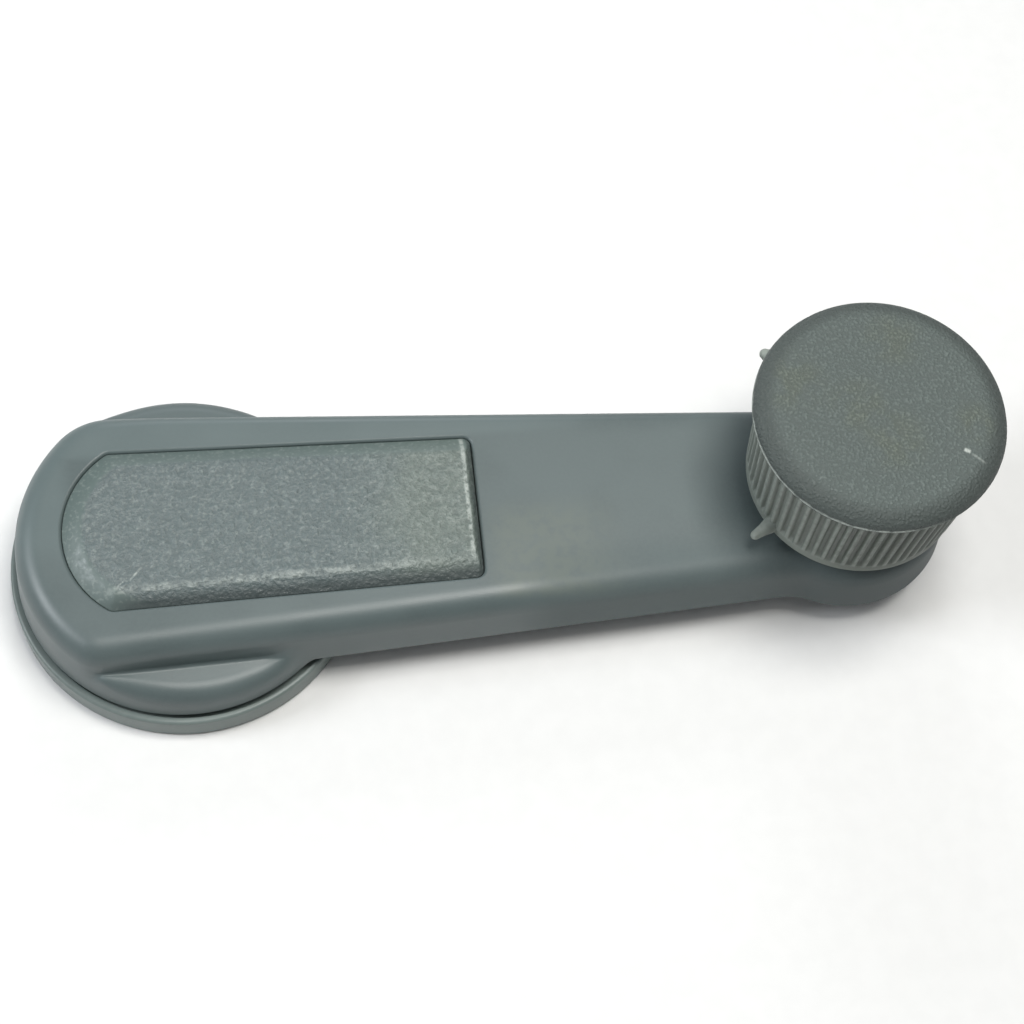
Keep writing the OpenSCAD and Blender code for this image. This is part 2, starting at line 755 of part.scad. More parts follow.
// Flanged bush pressed into the knob
module knob_bush() {
    color("#c9a25a")
        translate([crank_throw, 0, 0])
            difference() {
                union() {
                    translate([0, 0, knob_z]) cylinder(r = bush_r, h = bush_l);
                    translate([0, 0, knob_z]) cylinder(r = bush_r + bush_flange_w, h = bush_flange_t);
                }
                translate([0, 0, knob_z - eps]) cylinder(r = journal_r + run_gap, h = bush_l + 2 * eps);
            }
}

// One moulding stub, lying along a radius of the knob
module stub(angle, z) {
    rotate([0, 0, angle])
        translate([drum_in + drum_wall / 2, 0, z])
            rotate([0, 90, 0]) cylinder(r = stub_r, h = stub_reach - drum_in - drum_wall / 2);
}

// Fluted drum of the knob with its inner hub
module knob_body() {
    color("#575e58")
        translate([crank_throw, 0, 0])
            difference() {
                union() {
                    difference() {
                        rotate_extrude()
                            polygon([[0, knob_z], [drum_foot_r, knob_z], [drum_foot_r, flute_z],
                                [flute_foot_r, flute_z], [drum_top_r, drum_top], [0, drum_top]]);
                        for (i = [0 : flutes - 1])
                            rotate([0, 0, i * 360 / flutes])
                                translate([flute_foot_r - flute_depth, -flute_w / 2, flute_z])
                                    rotate([0, lean, 0])
                                        cube([3 * flute_depth, flute_w, flute_l + eps]);
                        translate([0, 0, knob_z - eps])
                            cylinder(r = drum_in, h = bush_top - drum_web - knob_z + eps);
                        translate([0, 0, bush_top]) cylinder(r = drum_in, h = drum_top - bush_top + eps);
                    }
                    translate([0, 0, knob_z + bush_flange_t])
                        cylinder(r = drum_hub_r, h = bush_l - bush_flange_t);
                    stub(low_stub_angle, knob_z + low_stub_z);
                    stub(high_stub_angle, drum_top - high_stub_z);
                }
                translate([0, 0, knob_z - eps]) cylinder(r = bush_r + seat_gap, h = bush_l + 2 * eps);
            }
}

// Lid of the knob, with a spigot that plugs into the drum
module knob_cap() {
    plug_r = drum_in - seat_gap;
    crown = cap_h - cap_rim_h;
    border = [for (a = [0 : 15 : 90]) [cap_r - cap_border * (1 - cos(a)), cap_rim_h + crown * sin(a)]];
    color("#717974")
        translate([crank_throw, 0, drum_top])
            rotate_extrude()
                polygon(concat([[0, cap_h - cap_skin], [plug_r - spigot_t, cap_h - cap_skin],
                    [plug_r - spigot_t, -spigot_l], [plug_r, -spigot_l], [plug_r, 0],
                    [cap_r - cap_rim_h / 2, 0]], border, [[0, cap_h]]));
}

// Flat washer between the bush and the E-clip
module top_washer() {
    color("#a3a6a8")
        translate([crank_throw, 0, 0])
            ring(journal_r + loose_gap, top_washer_r, top_washer_z, top_washer_t);
}

// E-clip in the pin's groove
module pin_clip() {
    inner = journal_r - e_clip_groove + seat_gap;
    color("#6d7072")
        translate([crank_throw, 0, 0])
            difference() {
                ring(inner, e_clip_r, e_clip_z, e_clip_t);
                translate([0, -e_clip_mouth / 2, e_clip_z - eps])
                    cube([e_clip_r + eps, e_clip_mouth, e_clip_t + 2 * eps]);
            }
}

arm_shell();
arm_core();
core_screws();
spline_boss();
retaining_screw();
lock_washer();
plain_washer();
cover_cap();
escutcheon();
trim_pad();
felt_ring();
escutcheon_washer();
escutcheon_clip();
knob_pin();
thrust_washer();
disc_spring();
knob_bush();
knob_body();
knob_cap();
top_washer();
pin_clip();
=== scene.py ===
"""Moulded window crank handle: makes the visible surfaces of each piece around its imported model."""
import math

import bmesh
import bpy
from bpy.props import FloatProperty, FloatVectorProperty, IntProperty, PointerProperty
from mathutils import Matrix, Vector


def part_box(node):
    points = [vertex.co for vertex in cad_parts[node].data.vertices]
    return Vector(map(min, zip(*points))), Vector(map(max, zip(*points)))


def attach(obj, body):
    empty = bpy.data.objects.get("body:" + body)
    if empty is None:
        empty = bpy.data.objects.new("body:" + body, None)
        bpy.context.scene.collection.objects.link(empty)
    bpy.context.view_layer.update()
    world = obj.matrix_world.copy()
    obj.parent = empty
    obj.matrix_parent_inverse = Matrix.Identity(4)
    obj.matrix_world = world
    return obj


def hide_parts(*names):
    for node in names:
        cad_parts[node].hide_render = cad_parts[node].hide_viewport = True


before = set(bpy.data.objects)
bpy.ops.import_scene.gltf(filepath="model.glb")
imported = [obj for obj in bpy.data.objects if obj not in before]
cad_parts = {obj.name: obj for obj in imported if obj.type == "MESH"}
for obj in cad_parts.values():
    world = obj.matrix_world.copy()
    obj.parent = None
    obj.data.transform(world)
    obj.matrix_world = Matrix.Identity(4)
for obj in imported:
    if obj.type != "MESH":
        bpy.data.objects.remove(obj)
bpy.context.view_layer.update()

bl_info = {
    "name": "Window crank handle",
    "version": (1, 0, 0),
    "blender": (4, 5, 0),
    "location": "3D View > Sidebar > Crank",
    "description": "Moulded window crank with a spinning knob, a lift-out cover and an escutcheon",
    "category": "Object",
}

ARM_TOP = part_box("arm_shell")[1].z - 0.001
COVER_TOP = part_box("cover_cap")[1].z
KNOB_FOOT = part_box("knob_body")[0].z
DRUM_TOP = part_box("knob_cap")[0].z + 0.003
THROW = round(sum(corner.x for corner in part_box("knob_pin")) / 2, 4)
SHARP = 38  # Edges over this angle in degrees stay sharp


def mm(value):
    """Millimetres as metres."""
    return value / 1000


def linear(code):
    """Linear RGBA of an sRGB hex colour."""
    parts = [int(code[i:i + 2], 16) / 255 for i in (1, 3, 5)]
    return [p / 12.92 if p <= 0.04045 else ((p + 0.055) / 1.055) ** 2.4 for p in parts] + [1.0]


def length(name, description, value):
    """A length property whose default is in metres."""
    return FloatProperty(name=name, description=description, default=value, min=0, precision=5,
                         unit="LENGTH")


def colour(name, description, code):
    """A colour property whose default is an sRGB hex colour."""
    return FloatVectorProperty(name=name, description=description, subtype="COLOR", size=4,
                               min=0, max=1, default=linear(code))


class ArmSizes(bpy.types.PropertyGroup):
    """Sizes of the arm moulding and its hub skirt"""
    throw: length("Throw", "Distance from the spindle axis to the knob axis", THROW)
    top: length("Top", "Height of the arm's top face above the door trim", ARM_TOP)
    rim: length("Rim", "Height of the arm's lower rim", mm(6))
    half_hub: length("Half width at the hub", "Half width of the rim at the spindle axis", mm(17.3))
    half_tip: length("Half width at the knob", "Half width of the rim at the knob axis", mm(11.95))
    tip_radius: length("Head", "Radius of the round head under the knob", mm(14.5))
    neck_fillet: length("Neck fillet", "Radius of the fillets into the round head", mm(8))
    hub_radius: length("Hub", "Radius of the hub skirt at its lower rim", mm(22.1))
    hub_rim: length("Hub rim", "Height of the hub skirt's lower rim", mm(4.6))
    hub_fillet: length("Hub fillet", "Radius of the fillets from the skirt into the arm", mm(5))
    ledge: length("Ledge", "Height of the ledges beside the arm", mm(9.3))
    ledge_round: length("Ledge rounding", "Rounding of the ledges' outer edge", mm(2.8))
    ledge_fall: FloatProperty(name="Ledge fall", description="Fall of the ledges towards the knob",
                              default=0.055)
    cove: length("Cove", "Radius of the cove from the ledge up into the arm", mm(0.6))
    corner: length("Near corner", "Rounding of the arm's near corner at the hub, in plan", mm(5.5))
    far_corner: length("Far corner", "Rounding of the arm's far corner at the hub, in plan", mm(9))
    top_round: length("Top rounding", "Rounding of the arm's near top edge", mm(3.2))
    far_round: length("Far rounding", "Rounding of the arm's far top edge", mm(1.8))
    draft: FloatProperty(name="Draft", description="Lean of the moulded walls", default=math.radians(5.5),
                         subtype="ANGLE", unit="ROTATION")


class CoverSizes(bpy.types.PropertyGroup):
    """Sizes of the cover cap and the pocket that it sits in"""
    radius: length("Round end", "Radius of the round end", mm(13.2))
    back: length("Round end's centre", "Distance of the round end's centre behind the spindle axis", mm(1.95))
    aside: length("Aside", "Distance of the cover's middle line from the arm's, to its far side", mm(0.3))
    half_hub: length("Half width at the hub", "Half width at the spindle axis", mm(10.85))
    half_end: length("Half width at the end", "Half width at the square end", mm(10))
    end: length("End", "Distance of the square end from the spindle axis", mm(38.4))
    top: length("Top", "Height of the cover's top", COVER_TOP)
    gap: length("Groove", "Groove round the cover", mm(0.07))
    end_gap: length("End groove", "Groove at the square end", mm(0.1))
    roll_width: length("Roll", "Width of the rolled edge", mm(3))
    roll_drop: length("Roll drop", "Drop of the rolled edge", mm(1.2))
    pocket: length("Pocket floor", "Height of the pocket's floor", ARM_TOP - mm(2.6))
    lip: length("Lip", "Rounding of the pocket's lip", mm(0.45))


class EscutcheonSizes(bpy.types.PropertyGroup):
    """Sizes of the escutcheon and of the rings that it carries"""
    radius: length("Radius", "Radius of its outer rim", mm(23.05))
    height: length("Height", "Height of its face above the door trim", mm(4))
    rounding: length("Rounding", "Rounding of its outer edge", mm(0.45))
    rim: length("Rim", "Thickness of its outer rim", mm(2))
    web: length("Web", "Thickness of its web", mm(1.6))
    bore: length("Bore", "Radius of its bore", mm(8.05))
    collar: length("Collar", "Radius of the bearing collar", mm(11))


class KnobSizes(bpy.types.PropertyGroup):
    """Sizes of the knob's drum, its flutes and its lid"""
    foot_z: length("Foot", "Height of the drum's foot", KNOB_FOOT)
    top_z: length("Top", "Height of the drum's top", DRUM_TOP)
    foot_radius: length("Foot radius", "Radius of the smooth band", mm(14.2))
    top_radius: length("Top radius", "Radius of the drum at its top", mm(15.2))
    band: length("Band", "Height of the smooth band", mm(1.4))
    flutes: IntProperty(name="Flutes", description="Number of flutes round the drum", default=66, min=12)
    flute_depth: length("Flute depth", "Depth of the flutes", mm(0.5))
    lid_radius: length("Lid", "Radius of the lid at its parting line", mm(16.1))
    lid_height: length("Lid height", "Height of the lid above the drum", mm(2.95))
    lid_rim: length("Lid rim", "Height of the parting line above the drum", mm(0.85))
    lid_border: length("Lid border", "Width of the lid's rounded border", mm(3.4))


class Finishes(bpy.types.PropertyGroup):
    """Colours of the mouldings"""
    arm: colour("Arm", "Grey-blue of the arm moulding", "#505b5b")
    cover: colour("Cover", "Grey-blue of the grained cover", "#566161")
    escutcheon: colour("Escutcheon", "Grey-green of the escutcheon", "#67726f")
    drum: colour("Drum", "Olive grey of the knob's drum", "#575f57")
    lid: colour("Lid", "Olive grey of the knob's lid", "#535c59")
    # This pale grey also paints light: glints on the cover's grain, part of the highlight on its rolled edge,
    # and the drum's lit side
    wear_and_light: colour("Worn", "Chalky grey where an edge is rubbed", "#a9b0aa")


class CrankSettings(bpy.types.PropertyGroup):
    """All settings of the window crank"""
    arm: PointerProperty(type=ArmSizes)
    cover: PointerProperty(type=CoverSizes)
    escutcheon: PointerProperty(type=EscutcheonSizes)
    knob: PointerProperty(type=KnobSizes)
    finishes: PointerProperty(type=Finishes)


# Mesh helpers


def ease(part):
    """Part between 0 and 1, smooth at both ends."""
    part = min(1, max(0, part))
    return part * part * (3 - 2 * part)


def bearing(way):
    """Direction of a flat vector, in degrees."""
    return math.degrees(math.atan2(way.y, way.x))


def turn(centre, radius, start, end, steps):
    """Points of an arc between two angles in degrees, both ends included."""
    return [Vector((centre[0] + radius * math.cos(a), centre[1] + radius * math.sin(a)))
            for a in (math.radians(start + (end - start) * i / steps) for i in range(steps + 1))]


def rounded(corners, steps=5):
    """Smooth closed outline through corners, each given as two coordinates and a fillet radius."""
    outline = []
    for i, (a, b, radius) in enumerate(corners):
        here = Vector((a, b))
        if radius == 0:
            outline.append(here)
            continue
        before = (Vector(corners[i - 1][:2]) - here).normalized()
        after = (Vector(corners[(i + 1) % len(corners)][:2]) - here).normalized()
        half = before.angle(after) / 2
        reach = radius / math.tan(half)
        centre = here + (before + after).normalized() * (radius / math.sin(half))
        start = bearing(here + before * reach - centre)
        sweep = (bearing(here + after * reach - centre) - start + 180) % 360 - 180
        outline += turn(centre, radius, start, start + sweep, steps)
    return outline


def skin(bm, rows, closed=False, wrap=True):
    """Faces between rows of points; wrap joins each row's ends and closed joins the last row to the first."""
    made = [[bm.verts.new(p) for p in row] for row in rows]
    count = len(rows[0])
    pairs = list(zip(made, made[1:])) + ([(made[-1], made[0])] if closed else [])
    for low, high in pairs:
        for i in range(count if wrap else count - 1):
            j = (i + 1) % count
            bm.faces.new((low[i], low[j], high[j], high[i]))
    return made


def spin(outline, steps, centre=0):
    """Rows of points of an outline of radius and height turned about an upright axis."""
    rows = []
    for i in range(steps):
        a = 2 * math.pi * i / steps
        rows.append([(centre + r * math.cos(a), r * math.sin(a), z) for r, z in outline])
    return rows


def lathe(bm, centre, outline, steps):
    """Closed body turned from a closed outline of radius and height."""
    skin(bm, spin(outline, steps, centre), closed=True)


def stack(bm, levels):
    """Closed body through flat outlines, each with its height, and with a face over both ends."""
    rows = skin(bm, [[(x, y, z) for x, y in outline] for outline, z in levels])
    bm.faces.new(rows[0])
    bm.faces.new(rows[-1])


def smooth(mesh, sharp=SHARP):
    """Shades a mesh smooth, with edges over an angle in degrees left sharp."""
    mesh.polygons.foreach_set("use_smooth", [True] * len(mesh.polygons))
    mesh.set_sharp_from_angle(angle=math.radians(sharp))


def new_object(name, bm, sharp=SHARP):
    """Object of a bmesh, its normals outwards, smooth up to an angle in degrees."""
    joined = mm(0.0005)
    bmesh.ops.remove_doubles(bm, verts=bm.verts, dist=joined)
    bmesh.ops.dissolve_degenerate(bm, edges=bm.edges, dist=joined)
    bmesh.ops.recalc_face_normals(bm, faces=bm.faces)
    mesh = bpy.data.meshes.new(name)
    bm.to_mesh(mesh)
    bm.free()
    made = bpy.data.objects.new(name, mesh)
    bpy.context.collection.objects.link(made)
    smooth(mesh, sharp)
    return made


def cutter(name, *shapes):
    """Cutting body made by functions that each take a bmesh."""
    bm = bmesh.new()
    for shape in shapes:
        shape(bm)
    return new_object(name, bm)


def carve(body, cutters):
    """Cuts bodies out of another, one after the other, and removes them."""
    for shape in cutters:
        cut = body.modifiers.new(shape.name, "BOOLEAN")
        cut.object = shape
        cut.operation = "DIFFERENCE"
        cut.solver = "EXACT"
    depsgraph = bpy.context.evaluated_depsgraph_get()
    mesh = bpy.data.meshes.new_from_object(body.evaluated_get(depsgraph))
    body.modifiers.clear()
    old = body.data
    body.data = mesh
    mesh.name = old.name
    bpy.data.meshes.remove(old)
    for shape in cutters:
        bpy.data.meshes.remove(shape.data)
    smooth(mesh)


def place(made, material, body, slot, *nodes):
    """Gives a piece its material and body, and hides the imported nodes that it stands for."""
    made.data.materials.clear()
    made.data.materials.append(material)
    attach(made, body)
    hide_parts(*nodes)


# Outlines of the arm and the cover


def beside(start, side, centre, offset, gap, way):
    """Point at an offset outside the line through start with normal side, at a gap from a centre."""
    along = Vector((side.y, -side.x))
    v = start + side * offset - centre
    step = -v.dot(along) + way * math.sqrt(v.dot(along) ** 2 - v.dot(v) + gap ** 2)
    return centre + v + along * step


def arm_stations(arm, rounding):
    """Stations along half of the arm's rim, from the hub's back to the knob's far side.

    Each is the skirt's point and outward normal, the arm's point and normal, and the rim's height.
    """
    hub = arm.hub_radius - math.tan(arm.draft) * (arm.rim - arm.hub_rim)
    lean = math.atan2(arm.half_hub - arm.half_tip, arm.throw)
    side = Vector((math.sin(lean), math.cos(lean)))
    start, origin, tip = Vector((0, arm.half_hub)), Vector((0, 0)), Vector((arm.throw, 0))
    stations = []

    def line(x):
        return Vector((x, arm.half_hub - (arm.half_hub - arm.half_tip) * x / arm.throw))

    def plain(p, normal, rim):
        stations.append((p, normal, p, normal, rim))

    corner = beside(start, side, origin, -rounding, hub - rounding, -1)
    hub_fillet = beside(start, side, origin, arm.hub_fillet, hub + arm.hub_fillet, 1)
    neck = beside(start, side, tip, arm.neck_fillet, arm.tip_radius + arm.neck_fillet, -1)
    from_arc = corner.normalized() * hub
    onto_side = corner + side * rounding
    off_hub = hub_fillet.normalized() * hub
    joins_side = hub_fillet - side * arm.hub_fillet
    onto_neck = neck - side * arm.neck_fillet
    off_neck = tip + (neck - tip).normalized() * arm.tip_radius
    for p in turn(origin, hub, 180, bearing(from_arc), 26)[:-1]:
        plain(p, p.normalized(), arm.hub_rim)
    steps = 64
    for i in range(steps):
        x = from_arc.x + (joins_side.x - from_arc.x) * i / steps
        if x < off_hub.x:
            low = Vector((x, math.sqrt(hub ** 2 - x ** 2)))
            low_normal, rim = low.normalized(), arm.hub_rim
        else:
            low = Vector((x, hub_fillet.y - math.sqrt(arm.hub_fillet ** 2 - (x - hub_fillet.x) ** 2)))
            low_normal = (hub_fillet - low).normalized()
            rim = arm.hub_rim + (arm.rim - arm.hub_rim) * ease((x - off_hub.x) / (joins_side.x - off_hub.x))
        if x < onto_side.x:
            high = Vector((x, corner.y + math.sqrt(rounding ** 2 - (x - corner.x) ** 2)))
            high_normal = (high - corner).normalized()
        else:
            high, high_normal = line(x), side
        stations.append((low, low_normal, high, high_normal, rim))
    steps = 36
    for i in range(steps):
        plain(line(joins_side.x + (onto_neck.x - joins_side.x) * i / steps), side, arm.rim)
    for p in turn(neck, arm.neck_fillet, bearing(onto_neck - neck), bearing(off_neck - neck), 12)[:-1]:
        plain(p, (neck - p).normalized(), arm.rim)
    for p in turn(tip, arm.tip_radius, bearing(off_neck - tip), 0, 40):
        plain(p, (p - tip).normalized(), arm.rim)
    return stations


def cover_outline(cover, inset, end_inset):
    """Smooth outline of the cover, moved in all round and at its square end."""
    lean = math.atan2(cover.half_hub - cover.half_end, cover.end)
    side, slant = Vector((math.sin(lean), math.cos(lean))), 90 - math.degrees(lean)
    start = Vector((0, cover.half_hub)) - side * inset
    radius, square, centre = cover.radius - inset, cover.end - end_inset, Vector((-cover.back, 0))
    # Roundings of the corners at the round end and at the square end
    small, large = max(mm(0.05), mm(1.4) - inset), max(mm(0.05), mm(1.1) - inset)
    back = beside(start, side, centre, -small, radius - small, -1)
    front = start - side * large
    front = Vector((square - large, front.y - (square - large - front.x) * math.tan(lean)))
    angle = bearing(back - centre)
    half = turn(centre, radius, 180, angle, 24)[:-1]
    half += turn(back, small, angle, slant, 8)
    first, last = back + side * small, front + side * large
    half += [first.lerp(last, i / 24) for i in range(1, 24)]
    half += turn(front, large, slant, 0, 8)
    half += [Vector((square, front.y * (1 - i / 8))) for i in range(1, 9)]
    whole = half + [Vector((p.x, -p.y)) for p in half[-2:0:-1]]
    return [p + Vector((0, cover.aside)) for p in whole]


def pegs(bm, cover, z, size):
    """Adds the cover's four pegs, or the bodies that cut the slots for them."""
    for x in (mm(-6.5), cover.end - mm(4)):
        y = cover.half_hub - (cover.half_hub - cover.half_end) * x / cover.end - mm(2.2)
        for way in (-1, 1):
            middle = Matrix.Translation((x, way * y, z))
            bmesh.ops.create_cube(bm, size=1, matrix=middle @ Matrix.Diagonal((*size, 1)))


# Material helpers


def add(tree, kind, inputs=(), **settings):
    """Adds a shader node with its settings; an input is a value or a socket to link from."""
    made = tree.nodes.new("ShaderNode" + kind)
    for name, value in settings.items():
        setattr(made, name, value)
    for key, value in dict(inputs).items():
        if isinstance(value, bpy.types.NodeSocket):
            tree.links.new(value, made.inputs[key])
        else:
            made.inputs[key].default_value = value
    return made


def new_material(name, **values):
    """Material with its main shader and output, with values set on the shader's own sockets.

    Its last result is the place on the piece in millimetres, so a pattern's scale is 1 over a size.
    """
    material = bpy.data.materials.new(name)
    material.use_nodes = True
    tree = material.node_tree
    tree.nodes.clear()
    surface = add(tree, "BsdfPrincipled", {k.replace("_", " "): v for k, v in values.items()})
    add(tree, "OutputMaterial", {"Surface": surface.outputs["BSDF"]})
    place_mm = add(tree, "VectorMath", {"Vector": add(tree, "TexCoord").outputs["Object"], "Scale": 1000.0},
                   operation="SCALE")
    return material, tree, surface, place_mm.outputs["Vector"]


def mask(tree, *parts):
    """Product of parts, each a number, a socket, or a value with the start and end that it eases between.

    Such a value gives 0 at its start and 1 at its end, unless two more numbers say what it gives there.
    """
    product = None
    for part in parts:
        if isinstance(part, tuple):
            value, start, end, low, high = (*part, 0.0, 1.0)[:5]
            limits = {"From Min": start, "From Max": end, "To Min": low, "To Max": high}
            part = add(tree, "MapRange", {"Value": value, **limits},
                       interpolation_type="SMOOTHSTEP").outputs["Result"]
        if product is None:
            product = part
        else:
            product = add(tree, "Math", {0: product, 1: part}, operation="MULTIPLY").outputs[0]
    return product


def tint(tree, tone, colour, *parts):
    """Tone with a colour laid over it as far as the mask of the parts lets it through."""
    return add(tree, "Mix", {0: mask(tree, *parts), 6: tone, 7: colour}, data_type="RGBA").outputs[2]


def dress(tree, surface, tone, relief, strength, depth, roughness=None):
    """Gives the main shader its tone, a bump of a real depth, and a roughness where that varies."""
    tree.links.new(tone, surface.inputs["Base Color"])
    if roughness is not None:
        tree.links.new(roughness, surface.inputs["Roughness"])
    bump = add(tree, "Bump", {"Height": relief, "Strength": strength, "Distance": depth})
    tree.links.new(bump.outputs["Normal"], surface.inputs["Normal"])


def shade(base, factor):
    """Colour made lighter or darker."""
    return [min(1.0, c * factor) for c in base[:3]] + [1.0]


# Materials


def scratch(tree, at, start, end, width):
    """Parts of a mask for a scratch between two points in millimetres, fading at its ends."""
    along = Vector(end) - Vector(start)
    span = along.length
    along.normalize()
    across = Vector((-along.y, along.x))
    middle = (Vector(start) + Vector(end)) / 2
    here = add(tree, "VectorMath", {0: at, 1: (*middle, 0)}, operation="SUBTRACT").outputs["Vector"]
    parts = []
    for way, wide, soft in ((across, width, width * 0.8), (along, span / 2, span / 4)):
        off = add(tree, "VectorMath", {0: here, 1: (*way, 0)}, operation="DOT_PRODUCT").outputs["Value"]
        off = add(tree, "Math", {0: off}, operation="ABSOLUTE").outputs[0]
        parts.append((off, wide, wide - soft))
    return parts


def satin_moulding(name, base, patch=None):
    """Moulded ABS off a finely spark-eroded tool: a dull satin with faint cloudy tone and grain.

    The patch is the start and the end of a yellowed and roughened stretch along the arm's near side,
    and the height of the arm's top; with it come painted light on the top beyond the cover and round
    the hub's back, and painted shade on the wall of the head.
    """
    material, tree, surface, at = new_material(name, IOR=1.53)
    cloud = add(tree, "TexNoise", {"Vector": at, "Scale": 1 / 14, "Detail": 2.0}).outputs["Fac"]
    tone = tint(tree, shade(base, 0.95), shade(base, 1.05), (cloud, 0.38, 0.62))
    speck = add(tree, "TexNoise", {"Vector": at, "Scale": 1 / 0.5, "Detail": 2.0}).outputs["Fac"]
    tone = tint(tree, tone, shade(base, 1.12), (speck, 0.35, 0.65, 0.0, 0.3))
    roughness = mask(tree, (cloud, 0.3, 0.7, 0.39, 0.45))
    if patch:
        start, end, top = patch
        apart = add(tree, "SeparateXYZ", {"Vector": at})
        x, y, z = (apart.outputs[axis] for axis in "XYZ")
        spots = add(tree, "TexNoise", {"Vector": at, "Scale": 1 / 1.6, "Detail": 4.0}).outputs["Fac"]
        tone = tint(tree, tone, linear("#59625d"), (x, start - 3, start + 1), (x, end, start + 7),
                    (y, 2.0, -3.0), (y, -13.4, -12.0), (spots, 0.3, 0.6, 0.3, 0.9))
        # Painted light: the top is paler beyond the cover and round the back of the hub
        far = mask(tree, (y, 10.0, 11.5), (x, 60.0, 40.0))
        back = mask(tree, (x, -13.0, -16.0), (y, -5.0, 1.0))
        painted_light = add(tree, "Math", {0: far, 1: back}, operation="MAXIMUM").outputs[0]
        tone = tint(tree, tone, shade(base, 1.4), painted_light, (z, top - 3.5, top - 1.5, 0.0, 0.55))
        # Painted shade on the wall of the head, under the knob's lid
        tone = tint(tree, tone, shade(base, 0.5), (x, 72.0, 84.0), (z, top - 0.5, top - 3.0, 0.0, 0.6))
        dull = mask(tree, (x, start, start + 8), (y, -3.0, -9.0), 0.2)
        roughness = add(tree, "Math", {0: roughness, 1: dull}, operation="ADD").outputs[0]
    # The real pits are near 0.05 mm; at 0.45 mm they are just wide enough to break the gloss
    pits = add(tree, "TexNoise", {"Vector": at, "Scale": 1 / 0.45, "Detail": 3.0}).outputs["Fac"]
    dress(tree, surface, tone, pits, 0.18, mm(0.05), roughness)
    return material


def grained_moulding(name, base, wear_and_light, end, centre):
    """Moulded ABS with an etched leather grain: low creased pebbles, shiny on top, pale at the end, with a
    painted highlight and painted shade along the near edge.

    The end is the place of the cover's square end, and the centre is that of its round end.
    """
    material, tree, surface, at = new_material(name, IOR=1.53)
    warp = add(tree, "TexNoise", {"Vector": at, "Scale": 1 / 2.0, "Detail": 1.0}).outputs["Color"]
    bent = add(tree, "Mix", {0: 0.2, 4: at, 5: warp}, data_type="VECTOR").outputs[1]
    grain = add(tree, "TexNoise", {"Vector": bent, "Scale": 1 / 0.6, "Detail": 3.0,
                                   "Roughness": 0.55}).outputs["Fac"]
    relief = mask(tree, (grain, 0.2, 0.8))
    apart = add(tree, "SeparateXYZ", {"Vector": at})
    x, y = apart.outputs["X"], apart.outputs["Y"]
    tone = tint(tree, shade(base, 0.9), shade(base, 1.12), relief)
    # Greener towards the square end, where sun and hands reach it
    cloud = add(tree, "TexNoise", {"Vector": at, "Scale": 1 / 9, "Detail": 2.0}).outputs["Fac"]
    green = tint(tree, linear("#56605a"), linear("#6f7972"), relief)
    tone = tint(tree, tone, green, (x, 18.0, 34.0), (cloud, 0.3, 0.6, 0.4, 0.9))
    # The etched grain stops short of the round end and the far edge
    flat = add(tree, "VectorMath", {0: at, 1: (1, 1, 0)}, operation="MULTIPLY").outputs["Vector"]
    out = add(tree, "VectorMath", {0: flat, 1: centre}, operation="DISTANCE").outputs["Value"]
    plain = mask(tree, (out, 10.2, 10.9), (x, 2.0, -3.0))
    far = add(tree, "Math", {0: mask(tree, (x, 0.0, end, 0.0, 0.9)), 1: y}, operation="ADD").outputs[0]
    plain = add(tree, "Math", {0: plain, 1: mask(tree, (far, 8.7, 9.4))}, operation="MAXIMUM").outputs[0]
    tone = tint(tree, tone, linear("#566460"), plain, 0.7)
    # The near edge is 0.9 mm further in at the end; along the top of its roll a pale band is partly wear and
    # partly a painted highlight, and its steep side below gets painted shade
    slant = add(tree, "Math", {0: x, 1: 0.9 / end}, operation="MULTIPLY").outputs[0]
    near = add(tree, "Math", {0: slant, 1: y}, operation="SUBTRACT").outputs[0]
    tone = tint(tree, tone, wear_and_light, (near, 7.5, 8.1), (near, 8.9, 8.5), (grain, 0.3, 0.7, 0.0, 0.42),
                (x, -11.0, -8.0), (x, 36.0, 20.0, 0.4, 1.0))
    painted_shade = mask(tree, (near, 8.5, 10.2), (x, -10.5, -5.0, 0.3, 1.0))
    tone = tint(tree, tone, shade(base, 0.45), painted_shade, 0.9)
    # A pale line runs along the square end, 1.2 mm in, and the outermost 0.8 mm is darker
    off = add(tree, "Math", {0: x, 1: end - 1.2}, operation="SUBTRACT").outputs[0]
    off = add(tree, "Math", {0: off}, operation="ABSOLUTE").outputs[0]
    tone = tint(tree, tone, wear_and_light, (off, 0.4, 0.1), (near, 8.8, 7.4), (grain, 0.3, 0.6, 0.0, 0.6))
    tone = tint(tree, tone, shade(base, 0.6), (x, end - 0.8, end - 0.3, 0.0, 0.5))
    # Pale specks painted on as glints on the grain, fewer in the painted shade
    glint = add(tree, "TexNoise", {"Vector": at, "Scale": 1 / 0.5, "Detail": 1.0}).outputs["Fac"]
    tone = tint(tree, tone, wear_and_light, (glint, 0.5, 0.8, 0.0, 0.2), (painted_shade, 0.0, 1.0, 1.0, 0.2))
    # Two short scratches across the near corner at the hub
    for start, finish, wide in (((-6.9, -7.5), (-4.9, -5.3), 0.2), ((-8.4, -8.1), (-7.3, -7.2), 0.15)):
        tone = tint(tree, tone, wear_and_light, *scratch(tree, at, start, finish, wide), (grain, 0.35, 0.6, 0.2, 0.9))
    smoother = mask(tree, (near, 8.5, 9.5, 0.0, 0.45))
    smoother = add(tree, "Math", {0: plain, 1: smoother}, operation="MAXIMUM").outputs[0]
    depth = add(tree, "Mix", {0: smoother, 2: relief, 3: 0.5}).outputs[0]
    dress(tree, surface, tone, depth, 0.85, mm(0.22), mask(tree, (grain, 0.35, 0.65, 0.52, 0.38)))
    return material


